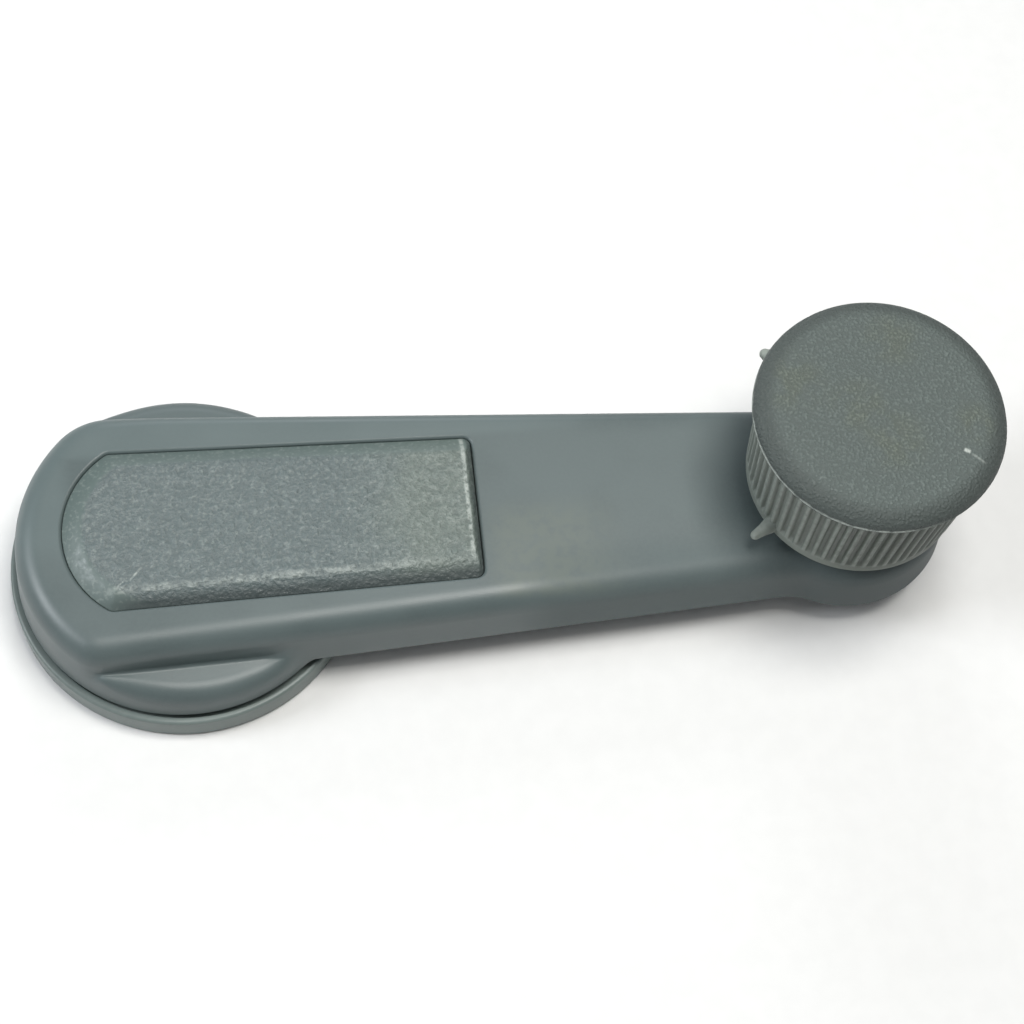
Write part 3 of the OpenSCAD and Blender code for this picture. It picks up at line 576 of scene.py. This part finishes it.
def weathered_moulding(name, base, wear_and_light, centre, radius, parting):
    """Moulded polypropylene gone chalky: pebbled, olive where it has aged, pale along its parting line partly
    as a painted highlight, with painted shade round its border.
    """
    material, tree, surface, at = new_material(name, IOR=1.49)
    cells = add(tree, "TexVoronoi", {"Vector": at, "Scale": 1 / 0.42}).outputs["Distance"]
    pebble = add(tree, "TexNoise", {"Vector": at, "Scale": 1 / 0.4, "Detail": 3.0,
                                    "Roughness": 0.6}).outputs["Fac"]
    relief = add(tree, "Math", {0: mask(tree, (cells, 0.75, 0.1)), 1: mask(tree, (pebble, 0.3, 0.7))},
                 operation="ADD").outputs[0]
    relief = mask(tree, (relief, 0.3, 1.7))
    tone = tint(tree, shade(base, 0.82), shade(base, 1.17), relief)
    olive = tint(tree, linear("#4a5044"), linear("#666c5c"), relief)
    blotch = add(tree, "TexNoise", {"Vector": at, "Scale": 1 / 3, "Detail": 3.0}).outputs["Fac"]
    middle = add(tree, "VectorMath", {0: at, 1: (centre, 0, 0)}, operation="SUBTRACT").outputs["Vector"]
    flat = add(tree, "VectorMath", {0: middle, 1: (1, 1, 0)}, operation="MULTIPLY").outputs["Vector"]
    patches = ((0.7, -4.5, 5.5), (-2.9, 0.6, 5.0), (-11.0, 4.7, 6.0), (3.0, 9.5, 5.0), (11.5, -3.0, 4.0))
    for x, y, wide in patches:
        off = add(tree, "VectorMath", {0: flat, 1: (x, y, 0)}, operation="DISTANCE").outputs["Value"]
        tone = tint(tree, tone, olive, (off, wide, wide / 4), (blotch, 0.35, 0.6, 0.05, 0.4))
    # Painted shade round the rounded border
    out = add(tree, "VectorMath", {0: flat}, operation="LENGTH").outputs["Value"]
    tone = tint(tree, tone, shade(base, 0.58), (out, radius - 3.3, radius - 1.2, 0.0, 0.85))
    # The parting line is painted pale on the side that faces down the arm: partly rubbed wear, partly a
    # painted highlight
    z = add(tree, "SeparateXYZ", {"Vector": at}).outputs["Z"]
    chips = add(tree, "TexNoise", {"Vector": at, "Scale": 1 / 1.1, "Detail": 3.0}).outputs["Fac"]
    line = mask(tree, (chips, 0.3, 0.7, parting, parting + 0.15))
    off = add(tree, "Math", {0: z, 1: line}, operation="SUBTRACT").outputs[0]
    off = add(tree, "Math", {0: off}, operation="ABSOLUTE").outputs[0]
    facing = add(tree, "VectorMath", {0: flat, 1: (-0.8, -0.6, 0)}, operation="DOT_PRODUCT").outputs["Value"]
    tone = tint(tree, tone, wear_and_light, (off, 0.28, 0.1), (facing, 2.0, 12.0), (chips, 0.3, 0.55, 0.15, 0.5))
    # A nick through the skin near the rim, with a scrape running on from it
    marks = (((9.0, -6.4), (9.9, -6.9), 0.38, 0.75), ((9.8, -7.0), (11.6, -8.6), 0.25, 0.22))
    for start, finish, wide, pale in marks:
        tone = tint(tree, tone, linear("#c3c9c3"), *scratch(tree, middle, start, finish, wide),
                    (chips, 0.3, 0.5, pale / 2, pale))
    dress(tree, surface, tone, relief, 0.7, mm(0.13), mask(tree, (pebble, 0.35, 0.65, 0.72, 0.56)))
    return material


def ribbed_moulding(name, base, wear_and_light, centre):
    """The knob's polypropylene where hands rub it: pale crests and darker grooves, with painted light and
    painted shade on its two sides.
    """
    material, tree, surface, at = new_material(name, IOR=1.49)
    crest = add(tree, "Attribute", attribute_name="crest").outputs["Fac"]
    cloud = add(tree, "TexNoise", {"Vector": at, "Scale": 1 / 1.2, "Detail": 3.0}).outputs["Fac"]
    groove_and_shade_tone = linear("#39403b")
    tone = tint(tree, shade(base, 0.9), shade(base, 1.08), (cloud, 0.35, 0.65))
    tone = tint(tree, tone, groove_and_shade_tone, (crest, 0.6, 0.0, 0.0, 0.3))
    tone = tint(tree, tone, wear_and_light, (crest, 0.7, 1.0), (cloud, 0.3, 0.6, 0.0, 0.18))
    # Painted light on the side that faces down the arm, and painted shade on the other
    x = add(tree, "SeparateXYZ", {"Vector": at}).outputs["X"]
    tone = tint(tree, tone, wear_and_light, (x, centre, centre - 14.0, 0.0, 0.3))
    tone = tint(tree, tone, groove_and_shade_tone, (x, centre - 2.0, centre + 12.0, 0.0, 0.35))
    pits = add(tree, "TexNoise", {"Vector": at, "Scale": 1 / 0.4, "Detail": 3.0}).outputs["Fac"]
    dress(tree, surface, tone, pits, 0.35, mm(0.06), mask(tree, (cloud, 0.3, 0.7, 0.5, 0.62)))
    return material


def plated_steel(name, base, roughness, spread):
    """Zinc-plated or phosphated steel: a grey metal whose coat is faintly cloudy and finely pitted."""
    material, tree, surface, at = new_material(name, Metallic=1.0)
    cloud = add(tree, "TexNoise", {"Vector": at, "Scale": 1 / 2.2, "Detail": 3.0}).outputs["Fac"]
    tone = tint(tree, shade(base, 0.8), shade(base, 1.1), (cloud, 0.35, 0.65))
    pits = add(tree, "TexNoise", {"Vector": at, "Scale": 1 / 0.3, "Detail": 2.0}).outputs["Fac"]
    rough = mask(tree, (cloud, 0.3, 0.7, roughness - spread, roughness + spread))
    dress(tree, surface, tone, pits, 0.2, mm(0.02), rough)
    return material


def turned_metal(name, base, roughness, centre):
    """Metal finished on a lathe: rings of fine tool marks about the axis."""
    material, tree, surface, at = new_material(name, Metallic=1.0)
    middle = add(tree, "VectorMath", {0: at, 1: (centre, 0, 0)}, operation="SUBTRACT").outputs["Vector"]
    # Feed marks of about 0.1 mm, drawn at 0.35 mm so that they show
    rings = add(tree, "TexWave", {"Vector": middle, "Scale": 1 / 0.35, "Distortion": 0.6, "Detail": 1.0},
                wave_type="RINGS", rings_direction="Z").outputs["Fac"]
    tone = tint(tree, shade(base, 0.86), shade(base, 1.08), rings)
    rough = mask(tree, (rings, 0.0, 1.0, roughness - 0.05, roughness + 0.07))
    dress(tree, surface, tone, rings, 0.15, mm(0.02), rough)
    return material


def waxy_nylon(name, base):
    """Natural nylon: waxy and faintly see-through, with a slightly uneven moulded skin."""
    material, tree, surface, at = new_material(name, IOR=1.53, Roughness=0.42, Subsurface_Weight=0.3,
                                               Subsurface_Scale=mm(1.5))
    cloud = add(tree, "TexNoise", {"Vector": at, "Scale": 1 / 3, "Detail": 2.0}).outputs["Fac"]
    tone = tint(tree, shade(base, 0.92), base, (cloud, 0.35, 0.65))
    dress(tree, surface, tone, cloud, 0.1, mm(0.05))
    return material


def pressed_felt(name, base):
    """Pressed wool felt: matted fibres that give a fuzzy, uneven grey."""
    material, tree, surface, at = new_material(name, IOR=1.5, Roughness=0.95, Sheen_Weight=0.4,
                                               Sheen_Roughness=0.6)
    fibres = add(tree, "TexNoise", {"Vector": at, "Scale": 1 / 0.5, "Detail": 5.0, "Roughness": 0.75,
                                    "Distortion": 1.5}).outputs["Fac"]
    tone = tint(tree, shade(base, 0.6), shade(base, 1.5), (fibres, 0.35, 0.65))
    dress(tree, surface, tone, fibres, 0.8, mm(0.2))
    return material


def cellular_foam(name, base):
    """Closed-cell polyethylene foam, sliced from a block: small dark cells between thin walls."""
    material, tree, surface, at = new_material(name, IOR=1.5, Roughness=0.9)
    cells = add(tree, "TexVoronoi", {"Vector": at, "Scale": 1 / 0.6}).outputs["Distance"]
    tone = tint(tree, shade(base, 0.4), shade(base, 1.6), (cells, 0.1, 0.6))
    dress(tree, surface, tone, cells, 0.9, mm(0.25))
    return material


# Operators


class CRANK_OT_arm(bpy.types.Operator):
    """Make the arm moulding with its hub skirt, ledges and cover pocket"""
    bl_idname = "crank.arm"
    bl_label = "Arm"
    bl_options = {"REGISTER", "UNDO"}

    def execute(self, context):
        settings = context.scene.crank
        arm, cover = settings.arm, settings.cover
        near = [self.station_row(arm, *s, arm.top_round) for s in arm_stations(arm, arm.corner)]
        rows = [self.station_row(arm, *s, self.far_rounding(arm, s[2].x))
                for s in arm_stations(arm, arm.far_corner)]
        rows += [[Vector((p.x, -p.y, p.z)) for p in row] for row in near[-2:0:-1]]
        bm = bmesh.new()
        made = skin(bm, rows, closed=True, wrap=False)
        bm.faces.new([row[0] for row in made])
        bm.faces.new([row[-1] for row in made])
        body = new_object("arm", bm)
        carve(body, self.cutters(arm, cover))
        bm = bmesh.new()
        bm.from_mesh(body.data)
        self.add_skirt_and_pad(bm, arm)
        bm.to_mesh(body.data)
        bm.free()
        smooth(body.data)
        # The yellowed stretch lies beside the cover's end, 41 to 60 mm from the spindle's axis
        finish = satin_moulding("Satin moulded ABS, arm", settings.finishes.arm,
                                (41.0, 60.0, arm.top * 1000))
        place(body, finish, "crank", "arm_plastic", "arm_shell")
        return {"FINISHED"}

    @staticmethod
    def far_rounding(arm, x):
        """Top rounding at x on the far side, which runs into the near one at both ends."""
        part = ease(min(x + mm(20), arm.throw + mm(13) - x) / mm(20))
        return arm.top_round + (arm.far_round - arm.top_round) * part

    @staticmethod
    def station_row(arm, low, low_normal, high, high_normal, rim, top):
        """Points up one station of the arm's outside, from inside the rim to the top face."""
        slope, cosine, sine = math.tan(arm.draft), math.cos(arm.draft), math.sin(arm.draft)
        upright = math.pi / 2

        def at(base, normal, inset, z):
            return Vector((*(base - normal * inset), z))

        def arc_inset(radius, z):
            return (radius + (z - arm.rim) * sine) / cosine

        def arc(base, normal, radius, z, start, end, steps):
            # A hollow arc has a negative radius
            angles = [start + (end - start) * i / steps for i in range(steps + 1)]
            return [at(base, normal, arc_inset(radius, z) - radius * math.cos(a), z + radius * math.sin(a))
                    for a in angles]

        width = max(0, (low - high).dot(high_normal))
        edge, cove = arm.ledge_round, arm.cove
        # The ledge's two roundings take up about this share of their radii, and shrink where it is too narrow
        taken = 0.869
        squeeze = width / (taken * (edge + cove))
        squeeze = squeeze / (1 + squeeze ** 4) ** 0.25
        edge, cove = max(edge * squeeze, mm(0.01)), max(cove * squeeze, mm(0.01))
        # The ledges taper to a point at the hub's back and melt into the fillet at its front
        share = ease(width / (mm(1) if high.x < 0 else mm(3.2)))
        small = mm(0.35)
        row = [at(low, low_normal, mm(3.2), rim), at(low, low_normal, mm(0.7), rim)]
        row += arc(low, low_normal, small, rim + small, -upright, math.radians(8), 4)
        ledge = arm.ledge - arm.ledge_fall * max(mm(-12), min(mm(14), high.x))
        shelf = arc(low, low_normal, edge, ledge - edge, arm.draft, upright, 9)
        shelf += arc(high, high_normal, -cove, ledge + cove, upright, arm.draft, 9)
        # Without a ledge, the same points lie on a plain wall between these heights
        wall_low, wall_high = mm(7), mm(11.3)
        count = len(shelf) - 1
        for i, point in enumerate(shelf):
            part = i / count
            z = wall_low + (wall_high - wall_low) * part
            base = low.lerp(high, part)
            normal = low_normal.lerp(high_normal, part).normalized()
            row.append(at(base, normal, slope * (z - arm.rim), z).lerp(point, share))
        row += arc(high, high_normal, top, arm.top - top, arm.draft, upright, 10)
        inmost = arc_inset(arm.top_round, arm.top - arm.top_round) + mm(0.4)
        row.append(at(high, high_normal, inmost, arm.top))
        return row

    @staticmethod
    def cutters(arm, cover):
        """Bodies cut out of the arm: recesses underneath, the pocket on top, and the holes between them."""
        wall, plate_top = mm(2.015), mm(8)
        # The bodies start below the rim, or below the top of the plate's recess
        below, within = mm(4), mm(7.5)
        recess = [s[2] - s[3] * wall for s in arm_stations(arm, arm.far_corner)]
        recess += [Vector((p.x, -p.y)) for p in recess[-2:0:-1]]
        # Steps up the pocket's wall: how far it widens and a height
        lip = [(0, cover.pocket), (0, arm.top - cover.lip)]
        for i in range(1, 5):
            a = math.radians(20 * i)
            lip.append((cover.lip * (1 - math.cos(a)), arm.top - cover.lip * (1 - math.sin(a))))
        lip.append((lip[-1][0] + mm(0.1), arm.top + mm(0.3)))
        pocket = [(cover_outline(cover, -cover.gap - widen, -cover.end_gap - widen), z) for widen, z in lip]

        def hole(x, radius, start, end):
            return lambda bm: lathe(bm, x, [(0, start), (radius, start), (radius, end), (0, end)], 64)

        screws = (mm(-15.4), mm(30), arm.throw - mm(24))
        return [
            cutter("hub recess", hole(0, arm.hub_radius - mm(2.7), below, mm(6.4))),
            cutter("plate recess", lambda bm: stack(bm, [(recess, below), (recess, plate_top)])),
            cutter("pocket", lambda bm: stack(bm, pocket)),
            cutter("screw well", hole(0, mm(7), within, mm(12.5))),
            cutter("rivet well", hole(0, mm(8), within, mm(10))),
            cutter("pin hole", hole(arm.throw, mm(5.05), within, arm.top + mm(1))),
            cutter("screw holes", *(hole(x, mm(1.45), within, mm(11.1)) for x in screws)),
            cutter("peg slots", lambda bm: pegs(bm, cover, mm(10.9), (mm(2.6), mm(1.4), mm(4.4)))),
        ]

    @staticmethod
    def add_skirt_and_pad(bm, arm):
        """Adds the wall of the skirt that runs under the arm, and the raised pad under the knob."""
        inner, outer = arm.hub_radius - mm(2.66), arm.hub_radius - mm(0.25)
        low, high = arm.hub_rim + mm(0.02), mm(6.6)
        lathe(bm, 0, rounded([(inner, low, mm(0.3)), (outer, low, mm(0.3)),
                              (outer - mm(0.2), high, 0), (inner, high, 0)]), 96)
        inner, outer = mm(5.05), mm(9)
        low, high = arm.top - mm(0.4), arm.top + mm(1)
        lathe(bm, arm.throw, rounded([(inner, low, 0), (outer, low, 0),
                                      (outer, high, mm(0.3)), (inner, high, mm(0.15))]), 96)
        bmesh.ops.recalc_face_normals(bm, faces=bm.faces)


class CRANK_OT_cover(bpy.types.Operator):
    """Make the grained cover with its rolled edge, skirt and pegs"""
    bl_idname = "crank.cover"
    bl_label = "Cover"
    bl_options = {"REGISTER", "UNDO"}

    def execute(self, context):
        settings = context.scene.crank
        cover = settings.cover
        wall, inside, small = mm(1.4), cover.top - mm(2.1), mm(0.25)
        # Steps round the edge: how far it is moved in, the same at the square end, and a height
        profile = [(wall, wall, inside), (wall, wall, cover.pocket), (small, small, cover.pocket),
                   (small * 0.3, small * 0.3, cover.pocket + small * 0.3), (0, 0, cover.pocket + small)]
        # The roll is an arc that runs on as a straight slope, and is a third as wide at the square end
        steep, radius = math.radians(28), mm(2.6)
        slope_low = cover.top - cover.roll_drop
        profile += [(0, 0, slope_low - mm(0.1)), (mm(0.1), mm(0.05), slope_low)]
        for i in range(13):
            a = steep * (1 - i / 12)
            inset = cover.roll_width - radius * math.sin(a)
            profile.append((inset, inset / 3, cover.top - radius * (1 - math.cos(a))))
        profile.append((cover.roll_width + mm(0.4), cover.roll_width / 3 + mm(0.4), cover.top))
        bm = bmesh.new()
        stack(bm, [(cover_outline(cover, inset, end_inset), z) for inset, end_inset, z in profile])
        pegs(bm, cover, mm(11.3), (mm(2.4), mm(1.2), mm(4)))
        body = new_object("cover", bm, 30)
        centre = (-cover.back * 1000, cover.aside * 1000, 0)
        finish = grained_moulding("Grained moulded ABS, cover", settings.finishes.cover,
                                  settings.finishes.wear_and_light, cover.end * 1000, centre)
        place(body, finish, "cover", "cover_plastic", "cover_cap")
        return {"FINISHED"}


class CRANK_OT_escutcheon(bpy.types.Operator):
    """Make the escutcheon, its foam pad and the felt ring on its face"""
    bl_idname = "crank.escutcheon"
    bl_label = "Escutcheon"
    bl_options = {"REGISTER", "UNDO"}

    def execute(self, context):
        settings = context.scene.crank
        plate = settings.escutcheon
        foot, web, top = mm(2), plate.height - plate.web, plate.height
        rim_in, recess = plate.radius - plate.rim, plate.height - mm(0.9)
        bm = bmesh.new()
        lathe(bm, 0, rounded([
            (plate.bore, foot, mm(0.15)), (plate.collar, foot, mm(0.2)), (plate.collar, web, mm(0.15)),
            (rim_in, web, mm(0.4)), (rim_in, 0, mm(0.3)), (plate.radius, 0, mm(0.3)),
            (plate.radius, top, plate.rounding), (plate.radius - mm(0.87), top, mm(0.05)),
            (plate.radius - mm(1), recess, mm(0.2)), (mm(17), recess, mm(0.3)),
            (mm(16.6), top, mm(0.1)), (plate.bore, top, mm(0.15))]), 192)
        # The recess round the skirt is moulded a little off centre
        for vert in bm.verts:
            if mm(20) < vert.co.xy.length < plate.radius - mm(0.5) and vert.co.z > top - mm(1.2):
                vert.co.x += mm(0.33)
        body = new_object("escutcheon_plate", bm)
        finish = satin_moulding("Satin moulded ABS, escutcheon", settings.finishes.escutcheon)
        place(body, finish, "door_side", "escutcheon_plastic", "escutcheon")
        foam = cellular_foam("Closed-cell foam", linear("#2c2e30"))
        self.ring("foam_ring", "trim_pad", "foam", foam, 0.8, mm(12), mm(0.25))
        felt = pressed_felt("Pressed wool felt", linear("#4a4a46"))
        self.ring("felt_washer", "felt_ring", "felt", felt, 1.0, mm(10), mm(0.35))
        return {"FINISHED"}

    @staticmethod
    def ring(name, node, slot, material, fill, inner, rounding):
        """Soft ring in the space of a packed one, with rounded edges and a slightly uneven skin."""
        low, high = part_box(node)
        outer, sag = high.x, mm(0.12)
        middle = (inner + outer) / 2
        bm = bmesh.new()
        lathe(bm, 0, rounded([
            (inner, low.z, rounding), (middle, low.z + sag, rounding), (outer, low.z, rounding),
            (outer, high.z, rounding), (middle, high.z - sag, rounding), (inner, high.z, rounding)], 4), 144)
        for vert in bm.verts:
            a = math.atan2(vert.co.y, vert.co.x)
            wave = math.sin(7 * a) + 0.6 * math.sin(17 * a + 1) + 0.4 * math.sin(31 * a + 2)
            towards = (vert.co.z - (low.z + high.z) / 2) / (high.z - low.z)
            vert.co.z -= towards * mm(0.04) * (2 + wave)
        body = new_object(name, bm, 60)
        place(body, material, "door_side", slot, node)


class CRANK_OT_drum(bpy.types.Operator):
    """Make the knob's fluted drum with its two moulding stubs"""
    bl_idname = "crank.drum"
    bl_label = "Drum"
    bl_options = {"REGISTER", "UNDO"}

    def execute(self, context):
        settings = context.scene.crank
        knob, throw = settings.knob, settings.arm.throw
        foot, start, end = knob.foot_z, knob.foot_z + knob.band, knob.top_z
        bush, hub, wall = mm(5.25), mm(8.25), knob.foot_radius - mm(2)
        bush_foot, bush_top, floor = foot + mm(0.9), foot + mm(10.9), foot + mm(8.5)
        small, swell = mm(0.3), mm(0.1)
        inside = [(bush, bush_top), (bush, bush_foot), (hub, bush_foot), (hub, floor), (wall, floor),
                  (wall, foot), (wall + small, foot)]
        heights = [foot + mm(z) for z in (0.0, 0.08, 0.3, 1.0)]
        shares = (0, 0.015, 0.03, 0.05, 0.08, 0.15, 0.4, 0.7, 1.0)
        heights += [start + (end - start) * part for part in shares]
        steps = knob.flutes * 12
        bm = bmesh.new()
        # The crest mark is 0 in a flute and 1 between two flutes; plain walls have 0.5 to 0.7
        crest = bm.verts.layers.float.new("crest")
        rows, marks = [], []
        for i in range(steps):
            a = 2 * math.pi * i / steps
            # A flute's floor takes up 0.37 of its pitch and the crest 0.25
            groove = ease((0.35 + 0.5 * math.cos(knob.flutes * a)) / 0.55)
            row = [(r, z, 0.6) for r, z in inside]
            for z in heights:
                if z <= start:
                    down = max(0, small - (z - foot))
                    row.append((knob.foot_radius - small + math.sqrt(small ** 2 - down ** 2), z, 0.7))
                    continue
                up = (z - start) / (end - start)
                full = ease(up / 0.08)
                radius = knob.foot_radius + swell * full
                radius += (knob.top_radius - knob.foot_radius - swell) * up
                row.append((radius - knob.flute_depth * groove * full, z, 1 - groove * full))
            row += [(wall, end, 0.5), (wall, bush_top, 0.5)]
            rows.append([(throw + r * math.cos(a), r * math.sin(a), z) for r, z, _ in row])
            marks.append([mark for _, _, mark in row])
        made = skin(bm, rows, closed=True)
        for row, values in zip(made, marks):
            for vert, value in zip(row, values):
                vert[crest] = value
        self.stub(bm, crest, throw, 210, foot + mm(1.1), mm(17.4), mm(0.8), mm(0.62))
        self.stub(bm, crest, throw, 139, end - mm(1.4), mm(17.3), mm(1.1), mm(0.7))
        body = new_object("knob_drum", bm, 50)
        finish = ribbed_moulding("Rubbed polypropylene, drum", settings.finishes.drum, settings.finishes.wear_and_light,
                                 throw * 1000)
        place(body, finish, "knob", "knob_plastic", "knob_body")
        return {"FINISHED"}

    @staticmethod
    def stub(bm, layer, throw, angle, z, end, root, tip):
        """Round-ended stub left by the mould, lying along a radius of the knob."""
        start = mm(13.2)
        outline = [(0, start), (root * 1.5, start), (root * 1.25, start + mm(1.6)), (root, start + mm(2.4))]
        outline += turn((0, end - tip), tip, 15, 90, 5)
        about = Matrix.Translation((throw, 0, z)) @ Matrix.Rotation(math.radians(angle), 4, "Z")
        about = about @ Matrix.Rotation(math.radians(90), 4, "Y")
        rows = [[about @ Vector(p) for p in row] for row in spin(outline, 24)]
        for row in skin(bm, rows, closed=True, wrap=False):
            for vert in row:
                vert[layer] = 0.97


class CRANK_OT_lid(bpy.types.Operator):
    """Make the knob's pebbled lid with its rounded border and parting line"""
    bl_idname = "crank.lid"
    bl_label = "Lid"
    bl_options = {"REGISTER", "UNDO"}

    def execute(self, context):
        settings = context.scene.crank
        knob, throw = settings.knob, settings.arm.throw
        low, high = knob.top_z, knob.top_z + knob.lid_height
        plug = knob.foot_radius - mm(2.05)
        plug_in, plug_out, plug_foot, inside = plug - mm(1.3), plug - mm(0.2), low - mm(3), high - mm(1.8)
        widest, rim = knob.lid_radius, knob.lid_radius - mm(0.1)
        parting = low + knob.lid_rim
        shoulder = parting + mm(0.14)
        outline = [(0, inside), (plug_in, inside), (plug_in, plug_foot), (plug_out, plug_foot),
                   (plug, plug_foot + mm(0.2)), (plug, low), (rim - mm(0.55), low),
                   (rim - mm(0.3), low + mm(0.08)), (rim - mm(0.08), low + mm(0.35)),
                   (rim, parting - mm(0.12)), (widest, parting - mm(0.05)), (widest, parting + mm(0.05)),
                   (rim, shoulder)]
        for i in range(1, 19):
            a = math.pi / 2 * i / 18
            inset = knob.lid_border * (1 - math.cos(a))
            outline.append((rim - inset, shoulder + (high - shoulder) * math.sin(a)))
        outline += [(rim - knob.lid_border - mm(0.4), high), (mm(6), high), (0, high)]
        bm = bmesh.new()
        lathe(bm, throw, outline, 192)
        body = new_object("knob_lid", bm)
        finish = weathered_moulding("Weathered polypropylene, lid", settings.finishes.lid,
                                    settings.finishes.wear_and_light, throw * 1000, widest * 1000, parting * 1000)
        place(body, finish, "knob", "knob_cap_plastic", "knob_cap")
        return {"FINISHED"}


class CRANK_OT_metalwork(bpy.types.Operator):
    """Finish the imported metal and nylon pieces"""
    bl_idname = "crank.metalwork"
    bl_label = "Metalwork"
    bl_options = {"REGISTER", "UNDO"}

    def execute(self, context):
        throw = context.scene.crank.arm.throw * 1000
        finishes = (
            (plated_steel("Zinc-plated steel", linear("#b9bcbd"), 0.34, 0.08),
             ("core_screws", "retaining_screw", "plain_washer", "escutcheon_washer", "top_washer")),
            (plated_steel("Phosphated spring steel", linear("#6a6c6e"), 0.45, 0.1),
             ("lock_washer", "escutcheon_clip", "disc_spring", "pin_clip")),
            (plated_steel("Phosphated steel sheet", linear("#8f9392"), 0.5, 0.08), ("arm_core",)),
            (turned_metal("Turned steel, boss", linear("#a6a8a9"), 0.3, 0), ("spline_boss",)),
            (turned_metal("Turned steel, pin", linear("#b4b6b7"), 0.26, throw), ("knob_pin",)),
            (waxy_nylon("Natural nylon", linear("#dad6c8")), ("thrust_washer",)),
            (turned_metal("Sintered bronze", linear("#b8935a"), 0.42, throw), ("knob_bush",)),
        )
        for material, names in finishes:
            for name in names:
                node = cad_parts[name]
                if not node.data.materials:
                    raise RuntimeError(f"{name} has no material slot")
                for slot in node.material_slots:
                    slot.material = material
        return {"FINISHED"}


class CRANK_OT_stage(bpy.types.Operator):
    """Make the pale floor, the soft lights and the camera"""
    bl_idname = "crank.stage"
    bl_label = "Stage"
    bl_options = {"REGISTER", "UNDO"}

    def execute(self, context):
        scene = context.scene
        bm = bmesh.new()
        bmesh.ops.create_grid(bm, x_segments=2, y_segments=2, size=3)
        floor = new_object("floor", bm)
        floor.location = (0.04, 0, -0.0002)
        paper, tree, surface, at = new_material("Matt white paper", Roughness=0.9, IOR=1.4)
        fibre = add(tree, "TexNoise", {"Vector": at, "Scale": 1 / 3, "Detail": 3.0}).outputs["Fac"]
        tone = tint(tree, linear("#dcdcdb"), linear("#dededd"), (fibre, 0.3, 0.7))
        tree.links.new(tone, surface.inputs["Base Color"])
        floor.data.materials.append(paper)
        world = bpy.data.worlds.new("Soft studio")
        world.use_nodes = True
        background = world.node_tree.nodes["Background"]
        background.inputs["Color"].default_value = linear("#f7faff")
        background.inputs["Strength"].default_value = 0.2
        scene.world = world
        middle = Vector((0.045, 0, 0.01))
        # Each lamp's name, place, size in metres, power in watts and colour
        lamps = (("Key softbox", (0.13, 0.0, 0.52), 0.20, 2.4, "#fffefa"),
                 ("Near softbox", (0.05, -0.17, 0.56), 0.08, 0.15, "#fffefa"),
                 ("Left softbox", (-0.40, 0.03, 0.36), 0.20, 1.8, "#f6faff"),
                 ("Back softbox", (0.05, 0.50, 0.30), 0.20, 0.6, "#f6faff"))
        for name, spot, size, power, code in lamps:
            light = bpy.data.lights.new(name, "AREA")
            light.shape, light.size, light.energy = "SQUARE", size, power
            light.color = linear(code)[:3]
            lamp = bpy.data.objects.new(name, light)
            lamp.location = spot
            lamp.rotation_mode = "QUATERNION"
            lamp.rotation_quaternion = (middle - Vector(spot)).to_track_quat("-Z", "Y")
            scene.collection.objects.link(lamp)
        # The camera is the photograph's, with a focal length of 2170 pixels in a picture 1024 wide
        view = bpy.data.cameras.new("camera")
        view.sensor_width = 36
        view.lens = view.sensor_width * 2170 / 1024
        view.clip_start, view.clip_end = 0.01, 20
        camera = bpy.data.objects.new("camera", view)
        camera.rotation_mode = "QUATERNION"
        spot, axis = Vector((0.013108, -0.117732, 0.270884)), Vector((0.430135, -0.0887948, -0.0906177))
        camera.matrix_world = Matrix.Translation(spot) @ Matrix.Rotation(axis.length, 4, axis)
        scene.collection.objects.link(camera)
        scene.camera = camera
        scene.view_settings.view_transform = "Standard"
        return {"FINISHED"}


class CRANK_PT_panel(bpy.types.Panel):
    """Sidebar panel with each piece's button and settings"""
    bl_idname = "CRANK_PT_panel"
    bl_label = "Window crank"
    bl_space_type = "VIEW_3D"
    bl_region_type = "UI"
    bl_category = "Crank"

    def draw(self, context):
        settings = context.scene.crank
        for label in ("arm", "cover", "escutcheon", "knob", "finishes"):
            group = getattr(settings, label)
            box = self.layout.box()
            box.label(text=label.capitalize())
            for name in group.bl_rna.properties.keys():
                if name not in ("rna_type", "name"):
                    box.prop(group, name)
        for operator in OPERATORS:
            self.layout.operator(operator.bl_idname)


GROUPS = (ArmSizes, CoverSizes, EscutcheonSizes, KnobSizes, Finishes, CrankSettings)
OPERATORS = (CRANK_OT_stage, CRANK_OT_arm, CRANK_OT_cover, CRANK_OT_escutcheon, CRANK_OT_drum, CRANK_OT_lid,
             CRANK_OT_metalwork)


def register():
    for cls in (*GROUPS, *OPERATORS, CRANK_PT_panel):
        bpy.utils.register_class(cls)
    bpy.types.Scene.crank = PointerProperty(type=CrankSettings)


def unregister():
    del bpy.types.Scene.crank
    for cls in reversed((*GROUPS, *OPERATORS, CRANK_PT_panel)):
        bpy.utils.unregister_class(cls)


def main():
    """Makes every piece and the stage."""
    register()
    bpy.ops.crank.stage()
    bpy.ops.crank.arm()
    bpy.ops.crank.cover()
    bpy.ops.crank.escutcheon()
    bpy.ops.crank.drum()
    bpy.ops.crank.lid()
    bpy.ops.crank.metalwork()


if __name__ == "__main__":
    main()
